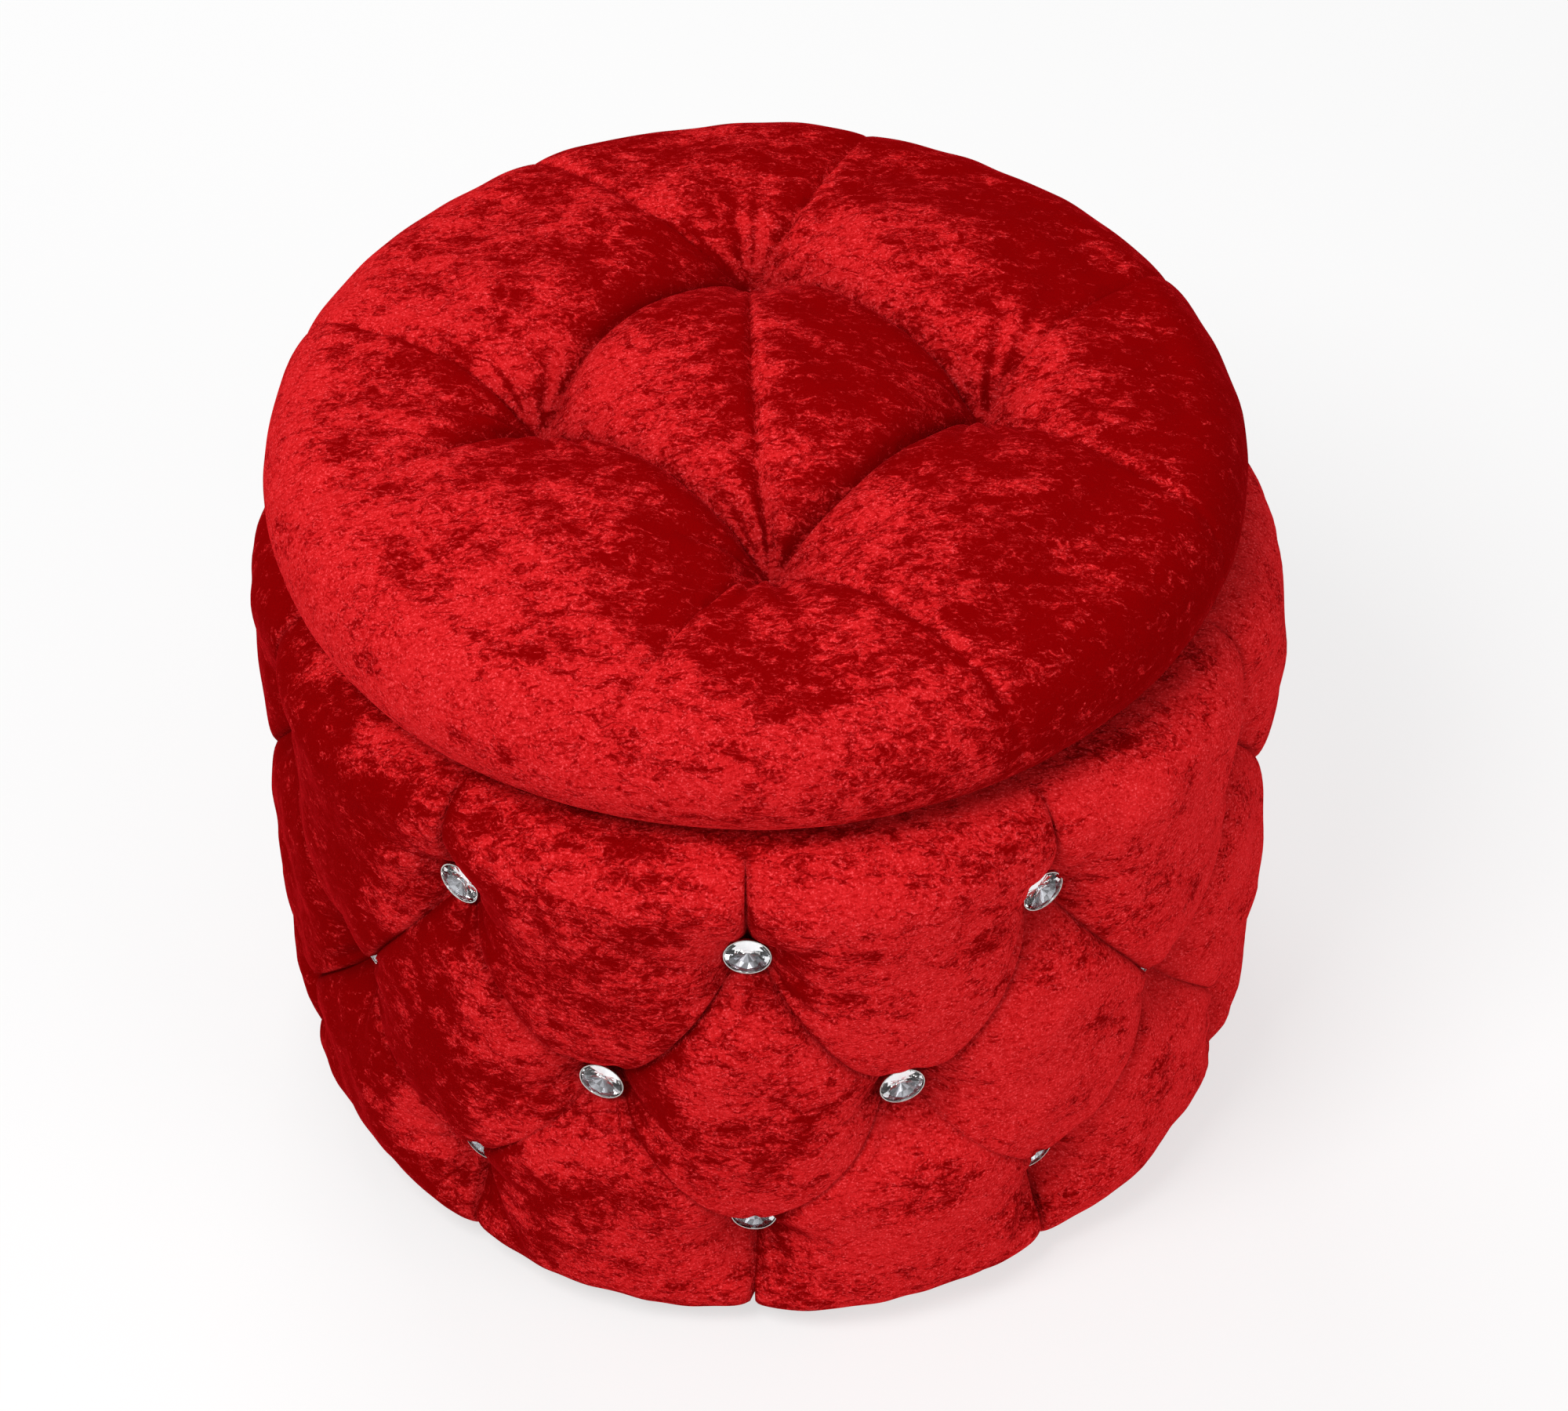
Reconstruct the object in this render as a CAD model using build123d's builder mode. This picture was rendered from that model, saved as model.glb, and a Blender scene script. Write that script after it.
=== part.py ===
import os
from math import cos, radians, sin, tan

from build123d import *

# Round storage ottoman: a deep-buttoned drum with a loose lift-off lid. All sizes in millimetres.
# The origin is on the floor below the middle of the drum, +Z is up and the front looks along -Y.

# Driving dimensions: whole object
CROWN_R = 228.0
RIM_Z = 288.0
LID_R = 212.0
LID_TOP_Z = 370.0
FRONT_ANGLE = -90.0
FIT = 0.2

# Driving dimensions: buttoning of the drum
TUFTS_AROUND = 10
UPPER_ROW_Z = 230.0
MIDDLE_ROW_Z = 140.0
LOWER_ROW_Z = 66.0
PILLOW_RISE = 14.0
PILLOW_EMBED = 1.0
PILLOW_BASE_SHARE = 0.965
PILLOW_SHAPE = ((0.9, 14.0), (0.78, 8.0), (0.58, 3.2), (0.3, 0.0))
CELL_TOP_INSET = 4.0
CELL_BOTTOM_INSET = 4.0
PIT_MOUTH_R = 23.0
PIT_PLAY = 1.0
PIT_STRAIGHT = 3.0
POCKET_R = 14.0
POCKET_DEPTH = 8.0
TUFT_FLOOR_T = 5.0

# Driving dimensions: frame and padding of the drum
HOLLOW_R = 148.0
LINING_T = 2.0
VELVET_T = 1.8
WADDING_T = 11.0
EDGE_ROUND = 24.0
FOAM_EDGE_R = 14.0
FOAM_T = 24.0
BASE_BOARD_T = 15.0
TOP_RING_T = 18.0
TURN_DOWN = 12.0
WRAP_T = 3.0
WRAP_SEAM = 1.0
BATTEN_COUNT = 5
BATTEN_W = 32.0

# Driving dimensions: feet and underside
GLIDE_COUNT = 5
GLIDE_R = 12.0
GLIDE_H = 5.0
GLIDE_CHAMFER = 1.2
GLIDE_PITCH_R = 162.0
NAIL_R = 1.2
NAIL_HEAD_R = 3.5
NAIL_HEAD_T = 1.0
NAIL_L = 16.0
NAIL_SINK = 1.5
DUST_T = 0.8
DUST_INSET = 4.0
STAPLE_W = 10.0
STAPLE_WIRE = 0.6
STAPLE_LEG = 6.0
STAPLE_INSET = 4.0
DUST_STAPLES = 20

# Driving dimensions: crystal buttons and their fixings
BUTTON_R = 10.0
CUP_WALL = 0.45
CUP_BACK_R = 4.0
CUP_LIP = 0.9
CULET_R = 0.3
GIRDLE_T = 0.6
PAVILION_H = 5.0
CROWN_H = 1.7
TABLE_SHARE = 0.62
FACETS = 16
SHANK_R = 1.5
SHANK_L = 4.0
TWINE_R = 1.0
TWINE_HOLE_R = 2.0
TOGGLE_R = 7.0
TOGGLE_T = 2.0
KNOT_R = 2.2
KNOT_L = 1.8

# Driving dimensions: frame screws
SCREW_R = 2.0
SCREW_HEAD_R = 4.0
SCREW_HEAD_L = 2.5
SCREW_TIP_L = 4.0
SCREW_L = 45.0

# Driving dimensions: lid
LID_TUFTS = 4
LID_TUFT_PITCH_R = 94.0
LID_TURN = 4.5
LID_BOARD_R = 190.0
LID_BOARD_T = 12.0
LID_FOAM_T = 46.0
LID_FOAM_EDGE_R = 20.0
LID_BELLY_Z = 320.0
LID_SOLE = 3.0
LID_SHOULDER_DROP = 18.0
LOBE_RISE = 9.0
LOBE_INSET = 4.0
LOBE_SHAPE = ((0.96, 16.0), (0.88, 7.5), (0.74, 3.5), (0.5, 1.0), (0.25, 0.0))
PLEAT_SPREAD = 23.0
LID_TUFT_DEPTH = 34.0
LID_PIT_MOUTH_R = 27.0
COVERED_BUTTON_R = 9.0
COVERED_BUTTON_H = 4.0
PLUG_T = 12.0
PLUG_PLAY = 8.0
PLUG_LINING_T = 0.8
PLUG_POCKET_R = 10.0
PLUG_POCKET_DEPTH = 7.0
PLUG_SCREWS = 4
PLUG_SCREW_PITCH_R = 60.0
PLUG_SCREW_L = 24.0
WASHER_R = 7.0
WASHER_H = 2.4
LID_STAPLES = 24

# Heights worked out from the floor upwards
hem_z = GLIDE_H + DUST_T
board_z = hem_z + VELVET_T
floor_z = board_z + BASE_BOARD_T
lip_z = RIM_Z - VELVET_T
ring_z = lip_z - TOP_RING_T
lid_board_z = RIM_Z + VELVET_T
lid_foam_z = lid_board_z + LID_BOARD_T
lid_foam_top_z = lid_foam_z + LID_FOAM_T
lid_crown_z = LID_TOP_Z - LOBE_RISE
lid_seat_z = lid_crown_z - LID_TUFT_DEPTH
plug_z = lid_board_z - PLUG_T
lining_top_z = plug_z - PLUG_LINING_T

# Radii worked out from the outside of the drum inwards, and from the hollow outwards
wadding_r = CROWN_R - PILLOW_RISE
foam_r = wadding_r - WADDING_T
foam_inner_r = foam_r - FOAM_T
wrap_inner_r = foam_inner_r - FIT - WRAP_T
frame_r = wrap_inner_r - FIT
cover_inner_r = foam_r + FIT
flat_r = wadding_r - EDGE_ROUND
pocket_floor_r = foam_r - POCKET_DEPTH
seat_r = pocket_floor_r + TUFT_FLOOR_T
lining_r = HOLLOW_R + LINING_T
turn_down_r = lining_r + FIT
ring_inner_r = turn_down_r + VELVET_T + FIT
batten_inner_r = lining_r + FIT
batten_outer_r = (frame_r ** 2 - (BATTEN_W / 2) ** 2) ** 0.5
batten_mid_r = (batten_inner_r + batten_outer_r) / 2
plug_r = turn_down_r - PLUG_PLAY - PLUG_LINING_T
plug_lining_r = plug_r + PLUG_LINING_T
lid_hem_r = plug_lining_r + FIT
lid_staple_r = (lid_hem_r + turn_down_r) / 2
lobe_r = LID_BOARD_R - LOBE_INSET

# Angles: the upper and lower rows start at the front, the middle row lies half a step further round
half_step = 180.0 / TUFTS_AROUND
middle_angle = FRONT_ANGLE + half_step
rows = {
    "upper": (UPPER_ROW_Z, FRONT_ANGLE),
    "middle": (MIDDLE_ROW_Z, middle_angle),
    "lower": (LOWER_ROW_Z, FRONT_ANGLE),
}
batten_step = 360.0 / BATTEN_COUNT
batten_angle = FRONT_ANGLE + half_step / 2
glide_angle = batten_angle + batten_step / 2
lid_angle = FRONT_ANGLE + LID_TURN
lid_step = 360.0 / LID_TUFTS

os.makedirs("parts", exist_ok=True)


def save(builder, name):
    builder.part.label = name
    export_step(builder.part, f"parts/{name}.step")


def rod(start, end, radius):
    """Cylinder along +X between two distances from the axis."""
    with BuildPart() as piece:
        with BuildSketch(Plane.YZ.offset(start)):
            Circle(radius)
        extrude(amount=end - start)
    return piece.part


def post(start, end, radius):
    """Cylinder along +Z between two heights."""
    with BuildPart() as piece:
        with BuildSketch(Plane.XY.offset(start)):
            Circle(radius)
        extrude(amount=end - start)
    return piece.part


def ring(start, end, inner, outer):
    """Flat or tall ring round the Z axis between two heights."""
    with BuildPart() as piece:
        with BuildSketch(Plane.XY.offset(start)):
            Circle(outer)
            Circle(inner, mode=Mode.SUBTRACT)
        extrude(amount=end - start)
    return piece.part


def turned(profile, axis):
    """Solid turned from a closed profile of points in the XZ plane."""
    with BuildPart() as piece:
        with BuildSketch(Plane.XZ):
            with BuildLine():
                Polyline(profile, close=True)
            make_face()
        revolve(axis=axis)
    return piece.part


def screw(length, head, shank, up):
    """Countersunk screw with its flat head at the origin, pointing up (1) or down (-1)."""
    profile = [
        (0, 0),
        (head, 0),
        (shank, up * SCREW_HEAD_L),
        (shank, up * (length - SCREW_TIP_L)),
        (0, up * length),
    ]
    return turned(profile, Axis.Z)


def staple():
    """Wire staple with the underside of its crown at z = 0 and its legs pointing up."""
    leg_mid = (STAPLE_W - STAPLE_WIRE) / 2
    with BuildPart() as piece:
        with BuildSketch(Plane.XY):
            Rectangle(STAPLE_WIRE, STAPLE_W)
        extrude(amount=STAPLE_WIRE)
        with BuildSketch(Plane.XY):
            with Locations((0, leg_mid), (0, -leg_mid)):
                Rectangle(STAPLE_WIRE, STAPLE_WIRE)
        extrude(amount=STAPLE_WIRE + STAPLE_LEG)
    return piece.part


def pillow(outline):
    """Padded cell of the drum, domed outwards along +X, from corners given as angle and height."""
    mid_z = sum(z for _, z in outline) / len(outline)
    base_x = wadding_r * cos(radians(half_step)) - PILLOW_EMBED
    sections = [(PILLOW_BASE_SHARE, base_x)]
    sections += [(share, CROWN_R - drop) for share, drop in PILLOW_SHAPE]
    with BuildPart() as piece:
        for share, x in sections:
            corners = [(share * base_x * tan(radians(a)), mid_z + share * (z - mid_z)) for a, z in outline]
            with BuildSketch(Plane.YZ.offset(x)):
                with BuildLine():
                    Polyline(corners, close=True)
                make_face()
        loft(ruled=True)
    return piece.part


def lobe(corners, top_z):
    """Padded lobe of the lid, domed upwards, from its corners in plan."""
    mid_x = sum(x for x, _ in corners) / len(corners)
    mid_y = sum(y for _, y in corners) / len(corners)
    with BuildPart() as piece:
        for share, drop in LOBE_SHAPE:
            plan = [(mid_x + share * (x - mid_x), mid_y + share * (y - mid_y)) for x, y in corners]
            with BuildSketch(Plane.XY.offset(top_z - drop)):
                with BuildLine():
                    Polyline(plan, close=True)
                make_face()
        loft(ruled=True)
    return piece.part


def polar(radius, angle):
    return (radius * cos(radians(angle)), radius * sin(radians(angle)))


# Tools shared by the drum pieces: the twine's way through the wall and the pit round each button
twine_bore = rod(HOLLOW_R, CROWN_R, TWINE_HOLE_R)
pocket = rod(pocket_floor_r, CROWN_R, POCKET_R)
tuft_boss = rod(pocket_floor_r + FIT, cover_inner_r + WADDING_T / 2, POCKET_R - FIT)
pit_r = BUTTON_R + PIT_PLAY

with BuildPart() as tuft_pit:
    with BuildSketch(Plane.XZ):
        with BuildLine():
            Polyline((CROWN_R + FIT, PIT_MOUTH_R), (CROWN_R + FIT, 0), (seat_r, 0), (seat_r, pit_r),
                     (seat_r + PIT_STRAIGHT, pit_r))
            TangentArc((seat_r + PIT_STRAIGHT, pit_r), (CROWN_R + FIT, PIT_MOUTH_R), tangent=(1, 0))
        make_face()
    revolve(axis=Axis.X)

frame_screw_up = screw(SCREW_L, SCREW_HEAD_R, SCREW_R, 1)
frame_screw_down = screw(SCREW_L, SCREW_HEAD_R, SCREW_R, -1)
frame_bore_up = screw(SCREW_L + FIT, SCREW_HEAD_R + FIT, SCREW_R + FIT, 1)
frame_bore_down = screw(SCREW_L + FIT, SCREW_HEAD_R + FIT, SCREW_R + FIT, -1)
nail_bore = post(0, floor_z - FIT, NAIL_R + FIT)

# Base board: round plywood floor of the drum, countersunk from below for the batten screws
with BuildPart() as base_board:
    add(post(board_z, floor_z, frame_r))
    with Locations((0, 0, board_z)):
        with PolarLocations(batten_mid_r, BATTEN_COUNT, start_angle=batten_angle):
            add(frame_bore_up, mode=Mode.SUBTRACT)
    with PolarLocations(GLIDE_PITCH_R, GLIDE_COUNT, start_angle=glide_angle):
        add(nail_bore, mode=Mode.SUBTRACT)
save(base_board, "base_board")

# Top ring: plywood ring under the rim
with BuildPart() as top_ring:
    add(ring(ring_z, lip_z, ring_inner_r, frame_r))
    with Locations((0, 0, lip_z)):
        with PolarLocations(batten_mid_r, BATTEN_COUNT, start_angle=batten_angle):
            add(frame_bore_down, mode=Mode.SUBTRACT)
save(top_ring, "top_ring")

# Battens: uprights between the base board and the top ring, drilled at both ends
with BuildPart() as batten:
    with BuildSketch(Plane.XY.offset(floor_z)):
        with Locations((batten_mid_r, 0)):
            Rectangle(batten_outer_r - batten_inner_r, BATTEN_W)
    extrude(amount=ring_z - floor_z)
    with Locations((batten_mid_r, 0, board_z)):
        add(frame_bore_up, mode=Mode.SUBTRACT)
    with Locations((batten_mid_r, 0, lip_z)):
        add(frame_bore_down, mode=Mode.SUBTRACT)
for number in range(BATTEN_COUNT):
    with BuildPart() as placed_batten:
        with PolarLocations(0, 1, start_angle=batten_angle + number * batten_step):
            add(batten.part)
    save(placed_batten, f"batten_{number + 1}")

# Frame screws: through the base board and the top ring into the ends of the battens
with BuildPart() as base_screws:
    with Locations((0, 0, board_z)):
        with PolarLocations(batten_mid_r, BATTEN_COUNT, start_angle=batten_angle):
            add(frame_screw_up)
save(base_screws, "base_screws")

with BuildPart() as ring_screws:
    with Locations((0, 0, lip_z)):
        with PolarLocations(batten_mid_r, BATTEN_COUNT, start_angle=batten_angle):
            add(frame_screw_down)
save(ring_screws, "ring_screws")

# Wall wrap: hardboard sheet bent round the frame, butted together over one batten
with BuildPart() as wall_wrap:
    add(ring(board_z, lip_z, wrap_inner_r, wrap_inner_r + WRAP_T))
    for row_z, row_angle in rows.values():
        with Locations((0, 0, row_z)):
            with PolarLocations(0, TUFTS_AROUND, start_angle=row_angle):
                add(twine_bore, mode=Mode.SUBTRACT)
    with PolarLocations(wrap_inner_r + WRAP_T / 2, 1, start_angle=batten_angle + 2 * batten_step):
        Box(3 * WRAP_T, WRAP_SEAM, 3 * RIM_Z, mode=Mode.SUBTRACT)
save(wall_wrap, "wall_wrap")

# Wall foam: padding round the wrap, with a pocket and a twine hole at each button
with BuildPart() as wall_foam:
    add(ring(board_z, lip_z, foam_inner_r, foam_r))
    fillet(wall_foam.edges().filter_by(GeomType.CIRCLE).group_by(SortBy.RADIUS)[-1], FOAM_EDGE_R)
    for row_z, row_angle in rows.values():
        with Locations((0, 0, row_z)):
            with PolarLocations(0, TUFTS_AROUND, start_angle=row_angle):
                add(pocket, mode=Mode.SUBTRACT)
                add(twine_bore, mode=Mode.SUBTRACT)
save(wall_foam, "wall_foam")

# Padded cells of the drum cover: diamonds between the rows, open cells up to the rim and down to the hem
diamond = pillow([(0, UPPER_ROW_Z), (-half_step, MIDDLE_ROW_Z), (0, LOWER_ROW_Z), (half_step, MIDDLE_ROW_Z)])
cell_top_z = RIM_Z - CELL_TOP_INSET
upper_cell = pillow([(0, MIDDLE_ROW_Z), (half_step, UPPER_ROW_Z), (half_step, cell_top_z),
                     (-half_step, cell_top_z), (-half_step, UPPER_ROW_Z)])
cell_bottom_z = hem_z + CELL_BOTTOM_INSET
lower_cell = pillow([(0, MIDDLE_ROW_Z), (-half_step, LOWER_ROW_Z), (-half_step, cell_bottom_z),
                     (half_step, cell_bottom_z), (half_step, LOWER_ROW_Z)])

# Side cover: velvet with its wadding, rounded to the rim and under the base board, domed in every cell
with BuildPart() as side_cover:
    with BuildSketch(Plane.XZ) as cover_block:
        with Locations((0, hem_z)):
            Rectangle(wadding_r, RIM_Z - hem_z, align=Align.MIN)
        fillet(cover_block.vertices().group_by(Axis.X)[-1], EDGE_ROUND)
    revolve(axis=Axis.Z)
    with PolarLocations(0, TUFTS_AROUND, start_angle=FRONT_ANGLE):
        add(diamond)
    with PolarLocations(0, TUFTS_AROUND, start_angle=middle_angle):
        add(upper_cell)
    with PolarLocations(0, TUFTS_AROUND, start_angle=middle_angle):
        add(lower_cell)
    with BuildSketch(Plane.XZ) as foam_space:
        with Locations((turn_down_r + VELVET_T, board_z)):
            Rectangle(cover_inner_r - turn_down_r - VELVET_T, lip_z - board_z, align=Align.MIN)
        fillet(foam_space.vertices().group_by(Axis.X)[-1], FOAM_EDGE_R)
    revolve(axis=Axis.Z, mode=Mode.SUBTRACT)
    add(post(0, board_z, turn_down_r), mode=Mode.SUBTRACT)
    add(post(board_z, RIM_Z + FIT, flat_r), mode=Mode.SUBTRACT)
    for row_z, row_angle in rows.values():
        with Locations((0, 0, row_z)):
            with PolarLocations(0, TUFTS_AROUND, start_angle=row_angle):
                add(tuft_boss)
                add(tuft_pit.part, mode=Mode.SUBTRACT)
                add(twine_bore, mode=Mode.SUBTRACT)
    with PolarLocations(GLIDE_PITCH_R, GLIDE_COUNT, start_angle=glide_angle):
        add(nail_bore, mode=Mode.SUBTRACT)
save(side_cover, "side_cover")

# Rim cover: the flat part of the velvet, over the rim and turned down into the well
with BuildPart() as rim_cover:
    add(ring(lip_z, RIM_Z, turn_down_r, flat_r - FIT))
    add(ring(lip_z - TURN_DOWN, lip_z, turn_down_r, turn_down_r + VELVET_T))
save(rim_cover, "rim_cover")

# Crystal button: faceted stone and its metal cup with a shank, built at z = 0 along +X
cup_x = seat_r + FIT
culet_x = cup_x + CUP_WALL + 2 * FIT
girdle_x = culet_x + PAVILION_H
stone_r = BUTTON_R - CUP_WALL - FIT
with BuildPart() as crystal:
    stone = [(CULET_R, culet_x), (stone_r, girdle_x), (stone_r, girdle_x + GIRDLE_T),
             (stone_r * TABLE_SHARE, girdle_x + GIRDLE_T + CROWN_H)]
    for radius, x in stone:
        with BuildSketch(Plane.YZ.offset(x)):
            RegularPolygon(radius, FACETS)
    loft(ruled=True)

lip_x = girdle_x + CUP_LIP
cup_profile = [
    (cup_x - SHANK_L, 0),
    (cup_x - SHANK_L, SHANK_R),
    (cup_x, SHANK_R),
    (cup_x, CUP_BACK_R),
    (girdle_x - FIT, BUTTON_R),
    (lip_x, BUTTON_R),
    (lip_x, BUTTON_R - CUP_WALL),
    (girdle_x - FIT, BUTTON_R - CUP_WALL),
    (culet_x - FIT, CULET_R + FIT),
    (culet_x - FIT, 0),
]
cup = turned(cup_profile, Axis.X)

# Twine and toggle behind each button: the twine ends in a knot inside the toggle
toggle_outer_x = (wrap_inner_r ** 2 - TOGGLE_R ** 2) ** 0.5 - FIT
toggle_inner_x = toggle_outer_x - TOGGLE_T
twine_profile = [
    (cup_x - SHANK_L, 0),
    (cup_x - SHANK_L, TWINE_R),
    (toggle_inner_x, TWINE_R),
    (toggle_inner_x, KNOT_R),
    (toggle_inner_x - KNOT_L, KNOT_R),
    (toggle_inner_x - KNOT_L, 0),
]
twine = turned(twine_profile, Axis.X)
with BuildPart() as toggle:
    add(rod(toggle_inner_x, toggle_outer_x, TOGGLE_R))
    add(rod(toggle_inner_x, toggle_outer_x, TWINE_R + FIT), mode=Mode.SUBTRACT)

for row, (row_z, row_angle) in rows.items():
    with BuildPart() as crystals:
        with Locations((0, 0, row_z)):
            with PolarLocations(0, TUFTS_AROUND, start_angle=row_angle):
                add(crystal.part)
    save(crystals, f"crystals_{row}")
    with BuildPart() as cups:
        with Locations((0, 0, row_z)):
            with PolarLocations(0, TUFTS_AROUND, start_angle=row_angle):
                add(cup)
    save(cups, f"button_cups_{row}")

with BuildPart() as button_twines:
    for row_z, row_angle in rows.values():
        with Locations((0, 0, row_z)):
            with PolarLocations(0, TUFTS_AROUND, start_angle=row_angle):
                add(twine)
save(button_twines, "button_twines")

with BuildPart() as twine_toggles:
    for row_z, row_angle in rows.values():
        with Locations((0, 0, row_z)):
            with PolarLocations(0, TUFTS_AROUND, start_angle=row_angle):
                add(toggle.part)
save(twine_toggles, "twine_toggles")

# Linings of the storage well: card faced with fabric
with BuildPart() as wall_lining:
    add(ring(floor_z, lining_top_z, HOLLOW_R, lining_r))
save(wall_lining, "wall_lining")

with BuildPart() as floor_lining:
    add(post(floor_z, floor_z + LINING_T, HOLLOW_R - FIT))
save(floor_lining, "floor_lining")

# Underside: dust cover, its staples, and glides nailed on through it
with BuildPart() as dust_cover:
    add(post(GLIDE_H, hem_z, flat_r - DUST_INSET))
    with PolarLocations(GLIDE_PITCH_R, GLIDE_COUNT, start_angle=glide_angle):
        add(nail_bore, mode=Mode.SUBTRACT)
save(dust_cover, "dust_cover")

with BuildPart() as dust_staples:
    with Locations((0, 0, GLIDE_H - STAPLE_WIRE)):
        with PolarLocations(frame_r - STAPLE_INSET, DUST_STAPLES, start_angle=FRONT_ANGLE):
            add(staple())
save(dust_staples, "dust_staples")

with BuildPart() as glide:
    add(post(0, GLIDE_H, GLIDE_R))
    chamfer(glide.edges().group_by(Axis.Z)[0], GLIDE_CHAMFER)
    add(post(0, NAIL_SINK + NAIL_HEAD_T, NAIL_HEAD_R + FIT), mode=Mode.SUBTRACT)
    add(nail_bore, mode=Mode.SUBTRACT)
with BuildPart() as glides:
    with PolarLocations(GLIDE_PITCH_R, GLIDE_COUNT, start_angle=glide_angle):
        add(glide.part)
save(glides, "glides")

nail_profile = [
    (0, NAIL_SINK),
    (NAIL_HEAD_R, NAIL_SINK),
    (NAIL_HEAD_R, NAIL_SINK + NAIL_HEAD_T),
    (NAIL_R, NAIL_SINK + NAIL_HEAD_T),
    (NAIL_R, NAIL_SINK + NAIL_L - 2 * NAIL_R),
    (0, NAIL_SINK + NAIL_L),
]
with BuildPart() as glide_nails:
    with PolarLocations(GLIDE_PITCH_R, GLIDE_COUNT, start_angle=glide_angle):
        add(turned(nail_profile, Axis.Z))
save(glide_nails, "glide_nails")

# Lid board: round plywood, drilled for the tuft twines and the plug screws
washer_z = lining_top_z - WASHER_H
plug_bore = screw(PLUG_SCREW_L + FIT, SCREW_HEAD_R + FIT, SCREW_R + FIT, 1)
lid_twine_bore = post(plug_z, lid_crown_z, TWINE_HOLE_R)
with BuildPart() as lid_board:
    add(post(lid_board_z, lid_foam_z, LID_BOARD_R))
    with PolarLocations(LID_TUFT_PITCH_R, LID_TUFTS, start_angle=lid_angle):
        add(lid_twine_bore, mode=Mode.SUBTRACT)
    with Locations((0, 0, washer_z)):
        with PolarLocations(PLUG_SCREW_PITCH_R, PLUG_SCREWS, start_angle=lid_angle + lid_step / 2):
            add(plug_bore, mode=Mode.SUBTRACT)
save(lid_board, "lid_board")

# Lid foam: round block with a rounded upper edge and a pocket at each tuft
lid_pocket_z = lid_seat_z - TUFT_FLOOR_T
lid_pocket = post(lid_pocket_z, LID_TOP_Z, POCKET_R)
with BuildPart() as lid_foam:
    add(post(lid_foam_z, lid_foam_top_z, LID_BOARD_R))
    fillet(lid_foam.edges().group_by(Axis.Z)[-1], LID_FOAM_EDGE_R)
    with PolarLocations(LID_TUFT_PITCH_R, LID_TUFTS, start_angle=lid_angle):
        add(lid_pocket, mode=Mode.SUBTRACT)
        add(lid_twine_bore, mode=Mode.SUBTRACT)
save(lid_foam, "lid_foam")

# Padded lobes of the lid: two halves inside the square of tufts, one between and one outside each tuft
tufts = [polar(LID_TUFT_PITCH_R, lid_angle + lid_step * k) for k in range(LID_TUFTS)]
shoulder_z = LID_TOP_Z - LID_SHOULDER_DROP
lobes = [
    lobe([tufts[0], tufts[1], tufts[2]], LID_TOP_Z),
    lobe([tufts[2], tufts[3], tufts[0]], LID_TOP_Z),
]
for k in range(LID_TUFTS):
    here = lid_angle + lid_step * k
    ahead = here + lid_step
    between = [tufts[k], polar(lobe_r, here + PLEAT_SPREAD), polar(lobe_r, here + lid_step / 2),
               polar(lobe_r, ahead - PLEAT_SPREAD), tufts[(k + 1) % LID_TUFTS]]
    outside = [tufts[k], polar(lobe_r, here - PLEAT_SPREAD), polar(lobe_r, here),
               polar(lobe_r, here + PLEAT_SPREAD)]
    lobes.append(lobe(between, LID_TOP_Z - LOBE_RISE / 2))
    lobes.append(lobe(outside, LID_TOP_Z - LOBE_RISE))

lid_pit_r = COVERED_BUTTON_R + PIT_PLAY
with BuildPart() as lid_pit:
    with BuildSketch(Plane.XZ):
        with BuildLine():
            Polyline((LID_PIT_MOUTH_R, LID_TOP_Z + FIT), (0, LID_TOP_Z + FIT), (0, lid_seat_z),
                     (lid_pit_r, lid_seat_z), (lid_pit_r, lid_seat_z + PIT_STRAIGHT))
            TangentArc((lid_pit_r, lid_seat_z + PIT_STRAIGHT), (LID_PIT_MOUTH_R, LID_TOP_Z + FIT),
                       tangent=(0, 1))
        make_face()
    revolve(axis=Axis.Z)

# Lid cover: velvet with its wadding over the foam, rolled round the edge and hemmed under the board
with BuildPart() as lid_cover:
    with BuildSketch(Plane.XZ):
        with BuildLine():
            Line((0, lid_crown_z), (0, RIM_Z))
            Line((0, RIM_Z), (LID_BOARD_R + LID_SOLE, RIM_Z))
            ThreePointArc((LID_BOARD_R + LID_SOLE, RIM_Z), (LID_R, LID_BELLY_Z), (LID_BOARD_R, shoulder_z))
            TangentArc((0, lid_crown_z), (LID_BOARD_R, shoulder_z), tangent=(1, 0))
        make_face()
    revolve(axis=Axis.Z)
    for padded_lobe in lobes:
        add(padded_lobe)
    with BuildSketch(Plane.XZ) as lid_space:
        with Locations((0, lid_board_z)):
            Rectangle(LID_BOARD_R + FIT, lid_foam_top_z + FIT - lid_board_z, align=Align.MIN)
        fillet(lid_space.vertices().group_by(Axis.X)[-1].sort_by(Axis.Y)[-1], LID_FOAM_EDGE_R)
    revolve(axis=Axis.Z, mode=Mode.SUBTRACT)
    add(post(0, lid_foam_z, lid_hem_r), mode=Mode.SUBTRACT)
    with PolarLocations(LID_TUFT_PITCH_R, LID_TUFTS, start_angle=lid_angle):
        add(post(lid_pocket_z + FIT, lid_foam_top_z + WADDING_T / 2, POCKET_R - FIT))
        add(lid_pit.part, mode=Mode.SUBTRACT)
        add(lid_twine_bore, mode=Mode.SUBTRACT)
save(lid_cover, "lid_cover")

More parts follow.
